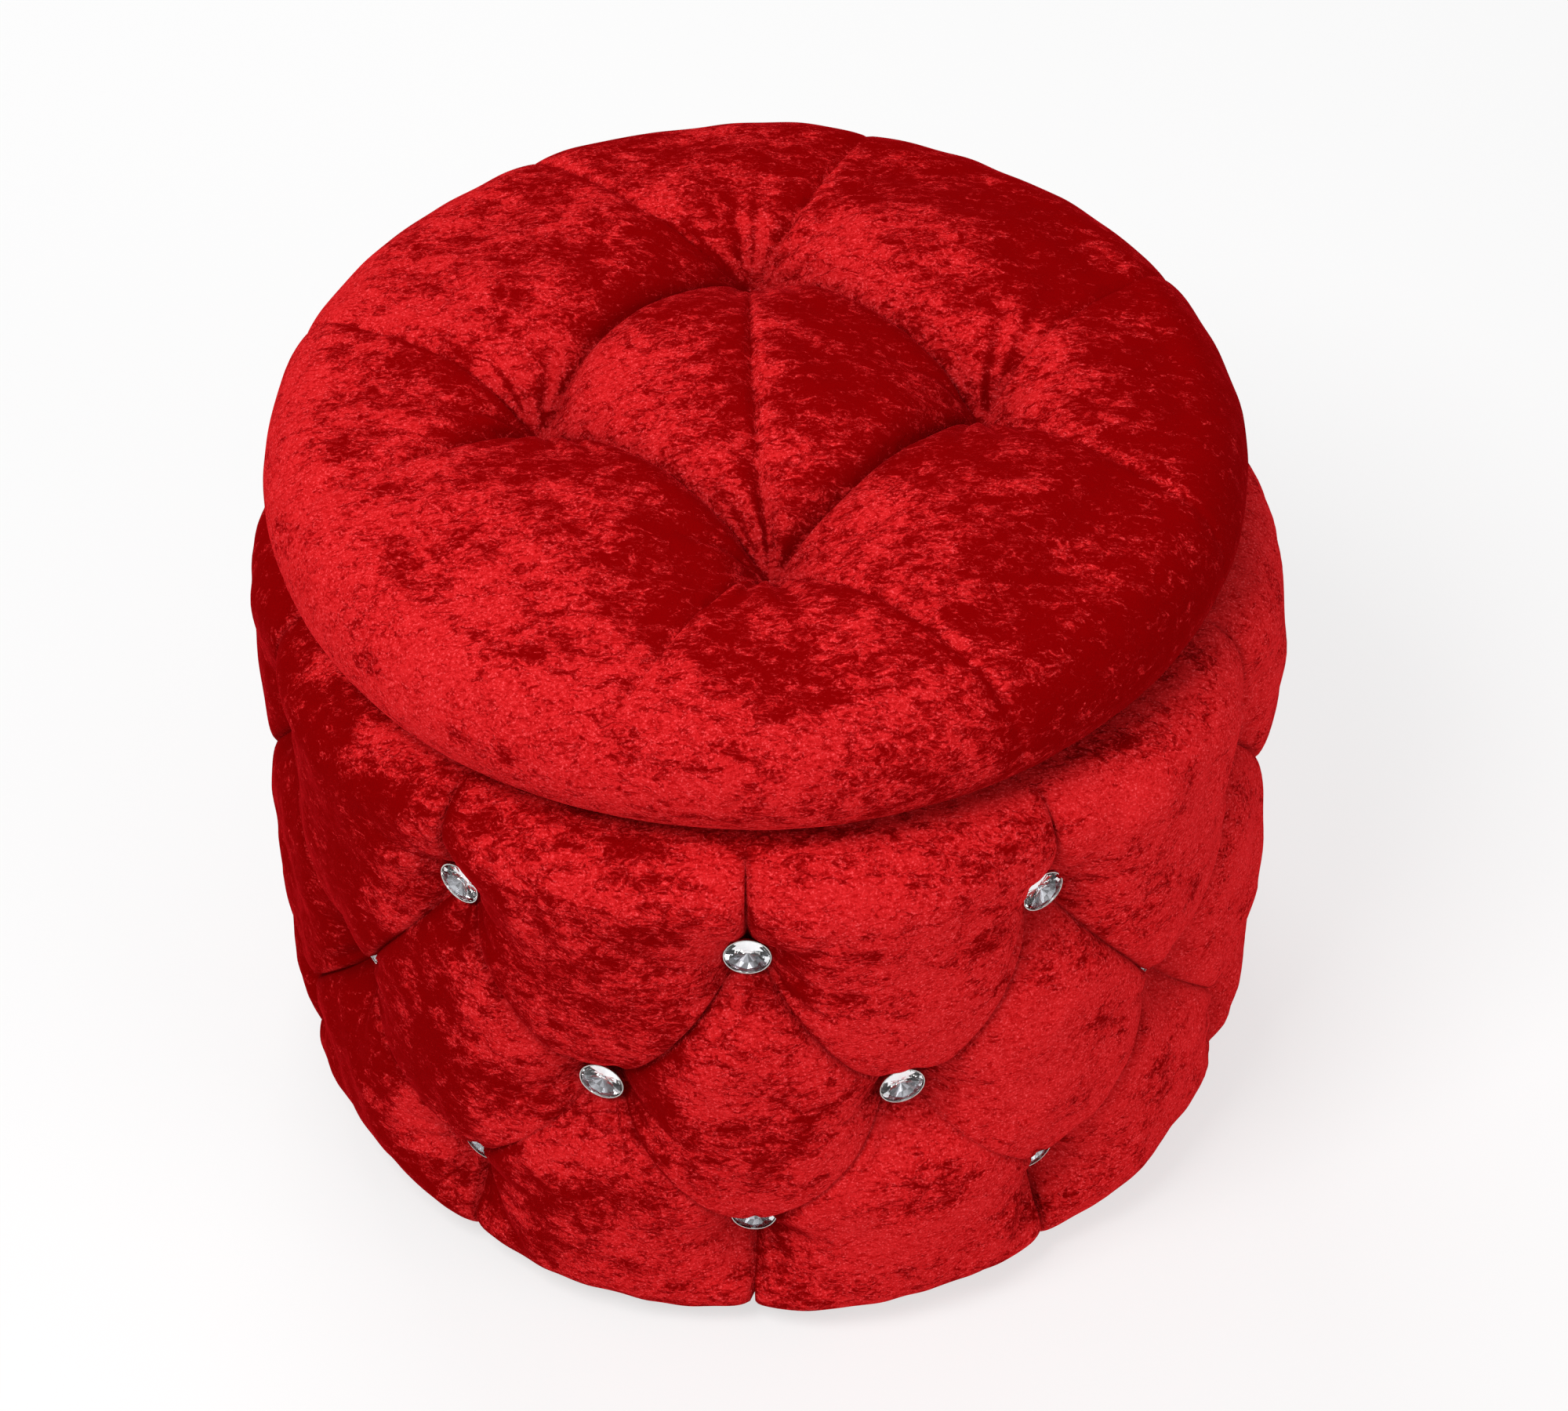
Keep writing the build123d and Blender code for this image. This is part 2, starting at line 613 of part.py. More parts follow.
# Covered buttons, twines and toggles of the lid tufts
button_z = lid_seat_z + FIT
with BuildPart() as covered_button:
    with BuildSketch(Plane.XZ):
        with BuildLine():
            Polyline((0, button_z + COVERED_BUTTON_H), (0, button_z - SHANK_L), (SHANK_R, button_z - SHANK_L),
                     (SHANK_R, button_z), (COVERED_BUTTON_R, button_z),
                     (COVERED_BUTTON_R, button_z + COVERED_BUTTON_H / 3))
            TangentArc((0, button_z + COVERED_BUTTON_H), (COVERED_BUTTON_R, button_z + COVERED_BUTTON_H / 3),
                       tangent=(1, 0))
        make_face()
    revolve(axis=Axis.Z)
with BuildPart() as lid_tuft_buttons:
    with PolarLocations(LID_TUFT_PITCH_R, LID_TUFTS, start_angle=lid_angle):
        add(covered_button.part)
save(lid_tuft_buttons, "lid_tuft_buttons")

lid_toggle_z = lid_board_z - TOGGLE_T
lid_twine_profile = [
    (0, button_z - SHANK_L),
    (TWINE_R, button_z - SHANK_L),
    (TWINE_R, lid_toggle_z),
    (KNOT_R, lid_toggle_z),
    (KNOT_R, lid_toggle_z - KNOT_L),
    (0, lid_toggle_z - KNOT_L),
]
with BuildPart() as lid_tuft_twines:
    with PolarLocations(LID_TUFT_PITCH_R, LID_TUFTS, start_angle=lid_angle):
        add(turned(lid_twine_profile, Axis.Z))
save(lid_tuft_twines, "lid_tuft_twines")

with BuildPart() as lid_tuft_toggles:
    with PolarLocations(LID_TUFT_PITCH_R, LID_TUFTS, start_angle=lid_angle):
        add(ring(lid_toggle_z, lid_board_z, TWINE_R + FIT, TOGGLE_R))
save(lid_tuft_toggles, "lid_tuft_toggles")

# Locating plug: disc under the lid that drops into the mouth of the well, wrapped in lining
plug_pocket = post(lid_board_z - PLUG_POCKET_DEPTH, lid_board_z, PLUG_POCKET_R)
with BuildPart() as locating_plug:
    add(post(plug_z, lid_board_z, plug_r))
    with PolarLocations(LID_TUFT_PITCH_R, LID_TUFTS, start_angle=lid_angle):
        add(plug_pocket, mode=Mode.SUBTRACT)
    with Locations((0, 0, washer_z)):
        with PolarLocations(PLUG_SCREW_PITCH_R, PLUG_SCREWS, start_angle=lid_angle + lid_step / 2):
            add(plug_bore, mode=Mode.SUBTRACT)
save(locating_plug, "locating_plug")

with BuildPart() as plug_lining:
    add(post(lining_top_z, lid_board_z, plug_lining_r))
    add(post(plug_z, lid_board_z, plug_r), mode=Mode.SUBTRACT)
    with Locations((0, 0, washer_z)):
        with PolarLocations(PLUG_SCREW_PITCH_R, PLUG_SCREWS, start_angle=lid_angle + lid_step / 2):
            add(plug_bore, mode=Mode.SUBTRACT)
save(plug_lining, "plug_lining")

plug_screw = screw(PLUG_SCREW_L, SCREW_HEAD_R, SCREW_R, 1)
with BuildPart() as plug_screws:
    with Locations((0, 0, washer_z)):
        with PolarLocations(PLUG_SCREW_PITCH_R, PLUG_SCREWS, start_angle=lid_angle + lid_step / 2):
            add(plug_screw)
save(plug_screws, "plug_screws")

with BuildPart() as cup_washer:
    add(turned([(0, 0), (SCREW_HEAD_R + 4 * FIT, 0), (WASHER_R, WASHER_H), (0, WASHER_H)], Axis.Z))
    add(plug_bore, mode=Mode.SUBTRACT)
with BuildPart() as plug_washers:
    with Locations((0, 0, washer_z)):
        with PolarLocations(PLUG_SCREW_PITCH_R, PLUG_SCREWS, start_angle=lid_angle + lid_step / 2):
            add(cup_washer.part)
save(plug_washers, "plug_washers")

# Staples through the hem under the lid, just outside the plug
with BuildPart() as lid_staples:
    with Locations((0, 0, RIM_Z - STAPLE_WIRE)):
        with PolarLocations(lid_staple_r, LID_STAPLES, start_angle=lid_angle):
            add(staple())
save(lid_staples, "lid_staples")
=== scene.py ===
# %% [markdown]
# A round storage ottoman: a deep-buttoned velvet drum with crystal buttons, and a loose cushion lid.
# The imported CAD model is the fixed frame. Every piece made here is in metres in that same frame, so a
# piece lands where the CAD has it, with no fitting by eye.

# %% load the frame
import bpy
import numpy as np
from math import cos, degrees, pi, radians, sin, tau
from mathutils import Matrix, Vector
from mathutils.geometry import delaunay_2d_cdt


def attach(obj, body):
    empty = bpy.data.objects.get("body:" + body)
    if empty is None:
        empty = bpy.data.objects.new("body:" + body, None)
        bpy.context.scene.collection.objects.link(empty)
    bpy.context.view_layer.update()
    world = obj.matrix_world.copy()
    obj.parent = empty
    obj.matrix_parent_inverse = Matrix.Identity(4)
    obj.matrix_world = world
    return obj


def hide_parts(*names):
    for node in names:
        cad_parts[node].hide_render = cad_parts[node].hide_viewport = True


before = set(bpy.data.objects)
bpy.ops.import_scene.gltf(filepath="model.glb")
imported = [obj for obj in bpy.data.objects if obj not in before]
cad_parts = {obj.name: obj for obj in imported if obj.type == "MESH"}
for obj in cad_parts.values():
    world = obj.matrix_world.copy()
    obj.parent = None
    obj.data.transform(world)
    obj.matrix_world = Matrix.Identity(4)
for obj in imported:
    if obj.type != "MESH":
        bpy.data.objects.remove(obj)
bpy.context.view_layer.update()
scene = bpy.context.scene

# %% [markdown]
# The photograph looks down on the ottoman from about 44 degrees with a long lens. The camera stands on
# that line, a little to the right of the front button, and aims slightly beside the drum's axis, because
# the object sits left of the middle of the frame. A small roll matches the tilt of the picture.

# %% camera
LENS_MM, SENSOR_MM = 113.6, 36.0
CAMERA_AZIMUTH, CAMERA_ELEVATION, CAMERA_DISTANCE = radians(-87.58), radians(44.3), 2.2208
CAMERA_ROLL = radians(-0.97)
CAMERA_SHIFT = Vector((0.0081, 0.0016, 0))
AIM = Vector((0, 0, 0.170))
away = Vector((cos(CAMERA_ELEVATION) * cos(CAMERA_AZIMUTH),
               cos(CAMERA_ELEVATION) * sin(CAMERA_AZIMUTH), sin(CAMERA_ELEVATION)))
camera_data = bpy.data.cameras.new("photo_camera")
camera_data.lens, camera_data.sensor_width = LENS_MM, SENSOR_MM
camera = bpy.data.objects.new("photo_camera", camera_data)
scene.collection.objects.link(camera)
turn = away.to_track_quat("Z", "Y")
camera.location = AIM + away * CAMERA_DISTANCE + turn @ CAMERA_SHIFT
camera.rotation_euler = (turn.to_matrix() @ Matrix.Rotation(CAMERA_ROLL, 3, "Z")).to_euler()
scene.camera = camera
print("camera at", [round(x, 3) for x in camera.location])

# %% [markdown]
# Most materials here are a Principled shader whose colour, roughness and bump come from a few shared node
# groups. These small helpers make nodes and links, so that a group reads as a list of steps.

# %% node helpers
FLOAT, COLOUR, VECTOR = "NodeSocketFloat", "NodeSocketColor", "NodeSocketVector"


class Steps:
    """Adds nodes to one tree and links them as they are named."""

    def __init__(self, tree):
        self.tree = tree

    def feed(self, node, values):
        """Gives inputs of a node their values: a socket is linked, anything else is set."""
        for key, value in values.items():
            if isinstance(value, bpy.types.NodeSocket):
                self.tree.links.new(value, node.inputs[key])
            else:
                node.inputs[key].default_value = value

    def add(self, kind, inputs=None, **settings):
        node = self.tree.nodes.new(kind)
        for key, value in settings.items():
            setattr(node, key, value)
        self.feed(node, inputs or {})
        return node

    def get(self, kind, inputs=None, **settings):
        """The first output of a new node."""
        return self.add(kind, inputs, **settings).outputs[0]

    def math(self, operation, a, b=0.0):
        return self.get("ShaderNodeMath", {0: a, 1: b}, operation=operation)

    def scaled(self, value, by, plus):
        return self.get("ShaderNodeMath", {0: value, 1: by, 2: plus}, operation="MULTIPLY_ADD")

    def swing(self, value, by, around):
        """A value that varies around 0.5, times a factor, made to vary around another value."""
        return self.scaled(self.math("SUBTRACT", value, 0.5), by, around)

    def vector(self, operation, a, b):
        return self.get("ShaderNodeVectorMath", {0: a, 1: b}, operation=operation)

    def vector_swing(self, value, by):
        """The same for the three parts of a vector, around 0."""
        inputs = {0: value, 1: (by,) * 3, 2: (-by / 2,) * 3}
        return self.get("ShaderNodeVectorMath", inputs, operation="MULTIPLY_ADD")

    def dot(self, a, b):
        return self.add("ShaderNodeVectorMath", {0: a, 1: b}, operation="DOT_PRODUCT").outputs["Value"]

    def noise(self, where, scale, detail, roughness, distortion=0.0):
        inputs = {"Vector": where, "Scale": scale, "Detail": detail, "Roughness": roughness,
                  "Distortion": distortion}
        return self.add("ShaderNodeTexNoise", inputs).outputs

    def ramp(self, value, low, high, kind="SMOOTHSTEP"):
        inputs = {"Value": value, "From Min": low, "From Max": high}
        return self.add("ShaderNodeMapRange", inputs, interpolation_type=kind).outputs["Result"]

    def mix(self, factor, a, b):
        return self.add("ShaderNodeMix", {0: factor, 6: a, 7: b}, data_type="RGBA").outputs[2]


def shader_group(name, inputs, outputs):
    """An empty shader group with sockets of the given kinds, ready for its steps."""
    group = bpy.data.node_groups.new(name, "ShaderNodeTree")
    for way, sockets in (("INPUT", inputs), ("OUTPUT", outputs)):
        for socket, kind in sockets.items():
            group.interface.new_socket(socket, in_out=way, socket_type=kind)
    steps = Steps(group)
    return group, steps, steps.add("NodeGroupInput").outputs, steps.add("NodeGroupOutput")


def new_material(name):
    material = bpy.data.materials.new(name)
    material.use_nodes = True
    return material, Steps(material.node_tree), material.node_tree.nodes["Principled BSDF"]


# %% [markdown]
# Plain soft studio light: a large key from the upper left, a weaker fill from the right and a soft light
# from behind. The world is white for the camera, for mirrors and through glass, and only a dim even fill
# for everything else, so that the folds keep their shade.

# %% lights and world
WHITE = (1, 1, 1, 1)
EVEN_LIGHT = 0.38
LIT_POINT = Vector((0, 0, 0.2))
scene.view_settings.view_transform = "Standard"


def soft_box(name, place, size, watts):
    data = bpy.data.lights.new(name, "AREA")
    data.energy, data.size = watts, size
    lamp = bpy.data.objects.new(name, data)
    lamp.location = place
    lamp.rotation_euler = (Vector(place) - LIT_POINT).to_track_quat("Z", "Y").to_euler()
    scene.collection.objects.link(lamp)


soft_box("key_light", (-0.8, -1.1, 2.3), 1.0, 40)
soft_box("fill_light", (1.8, -1.3, 1.3), 1.4, 12)
soft_box("back_light", (-0.6, 1.8, 1.8), 1.2, 17)

world = bpy.data.worlds.new("studio")
scene.world = world
world.use_nodes = True
steps = Steps(world.node_tree)
even = world.node_tree.nodes["Background"]
steps.feed(even, {"Color": WHITE, "Strength": EVEN_LIGHT})
seen = steps.get("ShaderNodeBackground", {"Color": WHITE, "Strength": 1.0})
ray = steps.add("ShaderNodeLightPath").outputs
either = steps.math("MAXIMUM", ray["Is Glossy Ray"], ray["Is Transmission Ray"])
shown = steps.math("MAXIMUM", ray["Is Camera Ray"], either)
choose = steps.get("ShaderNodeMixShader", {0: shown, 1: even.outputs[0], 2: seen})
steps.feed(world.node_tree.nodes["World Output"], {"Surface": choose})

# %% [markdown]
# Crushed velvet: the pile has been pressed flat in all directions. Light and shade are painted on it: a slope
# that faces a fixed painted light direction is painted bright, one that faces away is painted dark, and
# between the two the pile breaks up into ragged flecks with a fine sparkle. A printed picture would stretch
# over the pillows, so the pattern is noise in the object's own space. It is lifted or lowered by how far
# each slope faces the painted light direction, by slow drifts and by a painted side light that fades from
# side to side, within limits. It is then cut into bright pile, for standing pile and painted light, and
# dark pile, for pressed pile and painted shade.

# %% crushed pile group
LEAST_CATCH, MOST_CATCH, LEAST_LIFT, BIAS = -0.09, 0.115, -0.155, -0.03
PATCH_STRETCH, PATCH_SCALE = (1.0, 1.7, 1.8), 100.0
BEND_SCALE, BEND_BY, LEAN_BY = 90.0, 0.014, 0.7
DRIFT_SCALE, FLECK_SCALE, GRAIN_SCALE = 20.0, 420.0, 1100.0
FLECKS_IN_TONE, TONE_IN_LIGHT, FLECKS_IN_GLINT = 0.55, 0.6, 0.5
DARK_TO_BRIGHT_PILE, MIDDLE_TO_BRIGHT, GLINT_RANGE = (0.39, 0.61), (0.36, 0.76), (0.80, 1.06)
FOLD_SHADE = -0.42
crushed_pile, s, given, result = shader_group(
    "crushed_pile",
    {"Where": VECTOR, "Facing": VECTOR, "Nap": VECTOR, "Fade": VECTOR, "Drift": FLOAT, "Shade_In_Folds": FLOAT,
     "Bright": COLOUR, "Middle": COLOUR, "Dark": COLOUR, "Glint": COLOUR},
    {"Colour": COLOUR, "Roughness": FLOAT, "Height": FLOAT, "Lean": VECTOR})
drawn_out = s.vector("MULTIPLY", given["Where"], PATCH_STRETCH)
bend = s.noise(drawn_out, BEND_SCALE, 2.0, 0.6)["Color"]
where = s.vector("ADD", drawn_out, s.vector_swing(bend, BEND_BY))
drifts = s.noise(drawn_out, DRIFT_SCALE, 2.0, 0.5)[0]
ragged = s.noise(where, PATCH_SCALE, 9.0, 0.70)[0]
flecks = s.noise(where, FLECK_SCALE, 4.0, 0.7)[0]
grain = s.noise(given["Where"], GRAIN_SCALE, 1.0, 0.6)[0]
# Painted light and shade: a slope that faces the painted light direction is made brighter and one that faces away
# darker, within LEAST_CATCH and MOST_CATCH, and one side of the piece is painted lighter by the painted side
# light.
painted_facing_light = s.math("MINIMUM", s.dot(given["Facing"], given["Nap"]), MOST_CATCH)
lift = s.math("ADD", s.math("MAXIMUM", painted_facing_light, LEAST_CATCH), s.dot(given["Where"], given["Fade"]))
lift = s.swing(drifts, given["Drift"], lift)
lift = s.math("MAXIMUM", s.math("ADD", lift, BIAS), LEAST_LIFT)
tone = s.math("ADD", s.swing(flecks, FLECKS_IN_TONE, ragged), lift)
# Bright pile stands for both standing pile and painted light. Dark pile stands for both pressed pile and painted
# shade.
standing_and_lit = s.ramp(tone, *DARK_TO_BRIGHT_PILE)
light = s.ramp(s.swing(tone, TONE_IN_LIGHT, flecks), *MIDDLE_TO_BRIGHT)
pile = s.mix(standing_and_lit, given["Dark"], s.mix(light, given["Middle"], given["Bright"]))
# Painted highlight: the brightest flecks of standing pile take the glint colour.
glint = s.ramp(s.scaled(flecks, FLECKS_IN_GLINT, grain), *GLINT_RANGE)
pile = s.mix(s.math("MULTIPLY", glint, standing_and_lit), pile, given["Glint"])
sparkle = s.swing(grain, s.scaled(standing_and_lit, 0.3, 0.2), 1.0)
# Painted shade: the colour is darkened by the fold shade of each point, and varied by the fine sparkle.
shade = s.math("MULTIPLY", sparkle, s.scaled(given["Shade_In_Folds"], FOLD_SHADE, 1.0))
tilt = s.vector_swing(s.noise(where, PATCH_SCALE, 4.0, 0.6)["Color"], LEAN_BY)
s.feed(result, {
    "Colour": s.get("ShaderNodeVectorMath", {0: pile, "Scale": shade}, operation="SCALE"),
    "Lean": s.get("ShaderNodeVectorMath", {0: s.vector("ADD", given["Facing"], tilt)}, operation="NORMALIZE"),
    "Roughness": s.scaled(standing_and_lit, -0.25, 0.9),
    "Height": s.scaled(standing_and_lit, 0.5, s.math("MULTIPLY", grain, 0.4))})

# %% red velvet
VELVET_BRIGHT = (0.68, 0.017, 0.020, 1)
VELVET_MIDDLE = (0.44, 0.0035, 0.0045, 1)
# Painted highlight colour for the brightest flecks of pile.
VELVET_GLINT = (0.80, 0.062, 0.070, 1)
VELVET_DARK, VELVET_SHADE = (0.225, 0.0004, 0.001, 1), (0.215, 0.0005, 0.001, 1)
SHEEN, SHEEN_TINT = 0.3, (1.0, 0.02, 0.03, 1)


def crushed_velvet(name, **own):
    material, steps, shader = new_material(name)
    pile = steps.add("ShaderNodeGroup", node_tree=crushed_pile)
    steps.feed(pile, {
        "Where": steps.add("ShaderNodeTexCoord").outputs["Object"],
        "Shade_In_Folds": steps.add("ShaderNodeAttribute", attribute_name="painted_fold_shade").outputs["Fac"],
        "Facing": steps.add("ShaderNodeNewGeometry").outputs["Normal"],
        "Bright": VELVET_BRIGHT, "Middle": VELVET_MIDDLE, "Glint": VELVET_GLINT, **own})
    bump = steps.get("ShaderNodeBump", {"Height": pile.outputs["Height"], "Normal": pile.outputs["Lean"],
                                        "Strength": 0.5, "Distance": 0.0009})
    steps.feed(shader, {
        "Base Color": pile.outputs["Colour"], "Roughness": pile.outputs["Roughness"],
        "Normal": bump, "Specular IOR Level": 0.0, "Sheen Weight": SHEEN,
        "Sheen Roughness": SHEEN, "Sheen Tint": SHEEN_TINT})
    return material


# The light direction and the side light given to each velvet are painted light and shade on that piece.
lid_velvet = crushed_velvet("red_velvet_of_the_lid", Nap=(-0.30, -0.19, 0), Fade=(-0.22, 0, 0), Drift=0.4,
                            Dark=VELVET_DARK)
drum_velvet = crushed_velvet("red_velvet_of_the_drum", Nap=(0.34, -0.26, 0.15), Fade=(0.48, 0, 0), Drift=0.62,
                             Dark=VELVET_SHADE)
print("velvets:", lid_velvet.name, drum_velvet.name)

# %% [markdown]
# A piece is made from arrays of points and faces. The fold depth of each point goes with it as an
# attribute, which the velvet uses as painted shade: the deeper in a fold, the darker the pile is painted.

# %% mesh helpers
MM = 0.001
run = np.linspace


def new_piece(name, points, faces, material, attributes=None, smooth=True):
    mesh = bpy.data.meshes.new(name)
    mesh.from_pydata(np.asarray(points).tolist(), [], faces)
    for key, values in (attributes or {}).items():
        mesh.attributes.new(key, "FLOAT", "POINT").data.foreach_set("value", np.asarray(values, np.float32))
    mesh.polygons.foreach_set("use_smooth", [smooth] * len(mesh.polygons))
    mesh.materials.append(material)
    mesh.validate()
    mesh.update()
    piece = bpy.data.objects.new(name, mesh)
    scene.collection.objects.link(piece)
    print(name, "points", len(mesh.vertices), "faces", len(mesh.polygons))
    return piece


def ripple(points, wavelength, seed, waves=14):
    """Smooth random unevenness, about -1 to 1, of the given wavelength."""
    random = np.random.default_rng(seed)
    heading = random.normal(size=(waves, 3))
    heading /= np.linalg.norm(heading, axis=1)[:, None]
    stride = tau / wavelength * random.uniform(0.7, 1.3, waves)
    phase = random.uniform(0, tau, waves)
    return np.cos(points @ (heading * stride[:, None]).T + phase).sum(1) / waves ** 0.5


def uneven(points, ripples):
    """The sum of ripples, each of (height, wavelength, seed)."""
    return sum(height * ripple(points, wavelength, seed) for height, wavelength, seed in ripples)


def arc(centre, radius, start, end, count):
    turn = np.radians(np.linspace(start, end, count))
    return np.column_stack([centre[0] + radius * np.cos(turn), centre[1] + radius * np.sin(turn)])


def length_along(line):
    return np.concatenate([[0], np.cumsum(np.linalg.norm(np.diff(line, axis=0), axis=1))])


def hoop(r, z, turn):
    """Points round the axis at the given radius and height, at angles counted from the front."""
    return np.column_stack([r * np.sin(turn), -r * np.cos(turn), np.full(len(turn), z)])


# %% [markdown]
# The drum's cover is velvet over wadding, pulled in by three rings of ten buttons and folded into pleats
# between them: slanting ones from ring to ring, and upright ones to the rim and to the hem. A displaced
# cylinder would blur the pleats, so the mesh is laid out on the unrolled drum with its lines along them.
# One outline lies at the bottom of the pleats and a fuller one at the top of the pillows. Each point lies
# between the two, by how far it is from the nearest pleats. A third, plumper one serves at the front.

# %% outlines of the drum
AROUND = 10
ROWS_MM = (230.0, 140.0, 66.0)
BAND = 30
PLEAT_R, PILLOW_R = 214.0, 227.0


def wall(r):
    """The two bands between the rings of buttons, with a row of points at every step."""
    upper, middle, lower = ((r, z) for z in ROWS_MM)
    return [run(upper, middle, BAND + 1), run(middle, lower, BAND + 1)[1:]]


turn_in = [run((151.2, 274.4), (151.2, 284), 5), arc((154.2, 284.8), 3, 180, 90, 5)]
pleat_line = turn_in + [
    run((156, 287.8), (192, 286), 13), arc((192, 264), 22, 90, 0, 14)[1:],
    run((PLEAT_R, 262), (PLEAT_R, 231), 9), *wall(PLEAT_R), run((PLEAT_R, 64), (PLEAT_R, 36), 9),
    arc((188, 34), 26, 0, -90, 15), run((184, 7.8), (150.4, 6.2), 8)]
to_lowest_ring = turn_in + [
    run((156, 287.8), (199, 287.8), 13), arc((199, 259.8), 28, 90, 0, 14)[1:],
    run((PILLOW_R, 258), (PILLOW_R, 231), 9), *wall(PILLOW_R)]
pillow_line = to_lowest_ring + [
    run((PILLOW_R, 64), (PILLOW_R, 47), 9), arc((187, 46), 40, 0, -90, 15), run((184, 6.0), (150.4, 6.2), 8)]
plump_line = to_lowest_ring + [
    run((PILLOW_R, 64), (PILLOW_R, 31), 9), arc((203, 30), 24, 0, -90, 15), run((200, 6.0), (150.4, 6.2), 8)]
row_of_upper = sum(len(part) for part in pleat_line[:5])
pleat_line, pillow_line, plump_line = (np.vstack(line) for line in (pleat_line, pillow_line, plump_line))
along = length_along(pillow_line)
height = ROWS_MM[0] - (along - along[row_of_upper])
row_count, columns = len(height), 2 * AROUND * BAND
print("drum rows:", row_count, "columns:", columns)

# %% [markdown]
# On the unrolled drum every pleat is a straight fold from button to button, or from a button to the rim or
# the hem. They are tucked by hand, so their depths differ. Gathers are the short narrow folds that fan out
# from a button, where the cloth is drawn together.

# %% pleats and tufts on the unrolled drum
STEP = tau / AROUND
UNROLL_R = 218.0
UPPER_DEPTH, LOWER_DEPTH, FLANK_DEPTH, FLANK_FROM = 0.78, 0.45, 0.8, 40
UPRIGHT_L = 400.0
GATHER_W, GATHER_SPLAY, GATHER_START = 1.7, 0.06, 9
tufts = np.array([(k * STEP + half * STEP / 2, z)
                  for z, half in zip(ROWS_MM, (0, 1, 0)) for k in range(AROUND)])


def round_gap(a, b):
    """Shortest way round from angle b to angle a."""
    return (a - b + pi) % tau - pi


def towards(turn, middle, width):
    """1 at the angle in the middle, in degrees, falling to 0 over the width on both sides."""
    return np.exp(-(round_gap(turn, radians(middle)) / radians(width)) ** 2)


def from_segment(x, y, dx, dy):
    """Offsets of points from the segment (0, 0) to (dx, dy), their side of it, and how far along they are."""
    share = np.clip((x * dx + y * dy) / (dx * dx + dy * dy), 0, 1)
    return x - share * dx, y - share * dy, x * dy - y * dx, share


def fold_rise(distance, reach, fullness):
    """How far a pillow has risen at a distance from its pleat: steep at the fold, level at the crown."""
    return (1 - (1 - np.minimum(distance / reach, 1)) ** fullness) ** (1 / fullness)


def overhang(most, distance, width):
    """How far a pillow hangs over its pleat: nothing at the fold, the most at the width, little beyond."""
    return most * (distance / width) * np.exp(1 - distance / width)


def gathers(x, y, count, longest, draw):
    """Narrow folds that fan out from a tuft at (0, 0): 0 between them, about 1 at the bottom of one."""
    d, turn = np.hypot(x, y), np.arctan2(y, x)
    drawn = np.zeros(len(x))
    for ray in (np.arange(count) + draw.uniform(-0.35, 0.35, count)) * tau / count:
        length, bend, deep = draw.uniform(0.55, 1) * longest, draw.uniform(-0.3, 0.3), draw.uniform(0.4, 1)
        off = d * np.abs(round_gap(turn, ray + bend * d / longest))
        begun, left = np.clip(d / GATHER_START - 0.6, 0, 1), np.clip(1 - d / length, 0, 1)
        drawn += deep * np.exp(-(off / (GATHER_W + GATHER_SPLAY * d)) ** 2) * left * begun
    return drawn


slanting = []
for z_from, half, z_to, depth in ((ROWS_MM[0], 0, ROWS_MM[1], UPPER_DEPTH),
                                  (ROWS_MM[1], 1, ROWS_MM[2], LOWER_DEPTH)):
    for k in range(AROUND):
        for side in (-1, 1):
            start = k * STEP + half * STEP / 2
            on_flank = half and abs(degrees(round_gap(start + side * STEP / 4, 0))) > FLANK_FROM
            slanting.append((start, z_from, side * UNROLL_R * STEP / 2, z_to - z_from,
                             FLANK_DEPTH if on_flank else depth))
upright = [(k * STEP, z, 0.0, way) for z, way in ((ROWS_MM[0], UPRIGHT_L), (ROWS_MM[2], -UPRIGHT_L))
           for k in range(AROUND)]
print("pleats:", len(slanting), "slanting,", len(upright), "upright")

# %% [markdown]
# The pillows sag over the slanting pleats below them and lean over the upright ones. Each button pulls a
# pit with a wide funnel round it, less so where a pillow hangs over it like a hood. A used seat settles
# unevenly, so slow waves, a fuller right side and two drawn-in places bring the outline to the photograph's.

# %% shape of the drum cover
REACH, UPRIGHT_REACH, PLUMP, UPRIGHT_DEPTH = 48.0, 54.0, 2.8, 0.85
REACH_VARIES, DEPTH_VARIES = (0.92, 1.05), (0.75, 1.1)
TUFT_D, TUFT_SPREAD = 10.0, (19.0, 21.0, 18.0)
FUNNEL_D, FUNNEL_SPREAD = (6.0, 8.0, 6.0), 34.0
CLEAR = (15.0, 40.0, 28.0)
SAG, LEAN, BOW, GATHER_D = 3.8, 3.8, 5.5, 4.6
SAG_W, LEAN_W, BOW_W = 9, 8, 24
SLANTING_NEAR, UPRIGHT_NEAR, TUFT_NEAR = 110, 70, 60
GATHERS, GATHER_L = 9, 55.0
HOOD, HOOD_W, HOOD_FROM, HOOD_TO = 0.75, 12, 30, 60
DRUM_RIPPLES = ((1.3, 60, 11), (0.45, 22, 12))
RIGHT_FULL, TRIM, LOW_DRAWN, RIM_DRAWN = 2.4, 1.4, 6.0, 4.0
CUP_R, CUP_NEAR, HEM_Z = 199.4, 30, 6.0
FOLD_FALL, DRUM_PUCKER_SHADE = 1.25, 0.25
angle, up = [g.ravel() for g in np.meshgrid(np.arange(columns) * tau / columns, height)]
row_at = np.repeat(np.arange(row_count), columns)
random = np.random.default_rng(4)

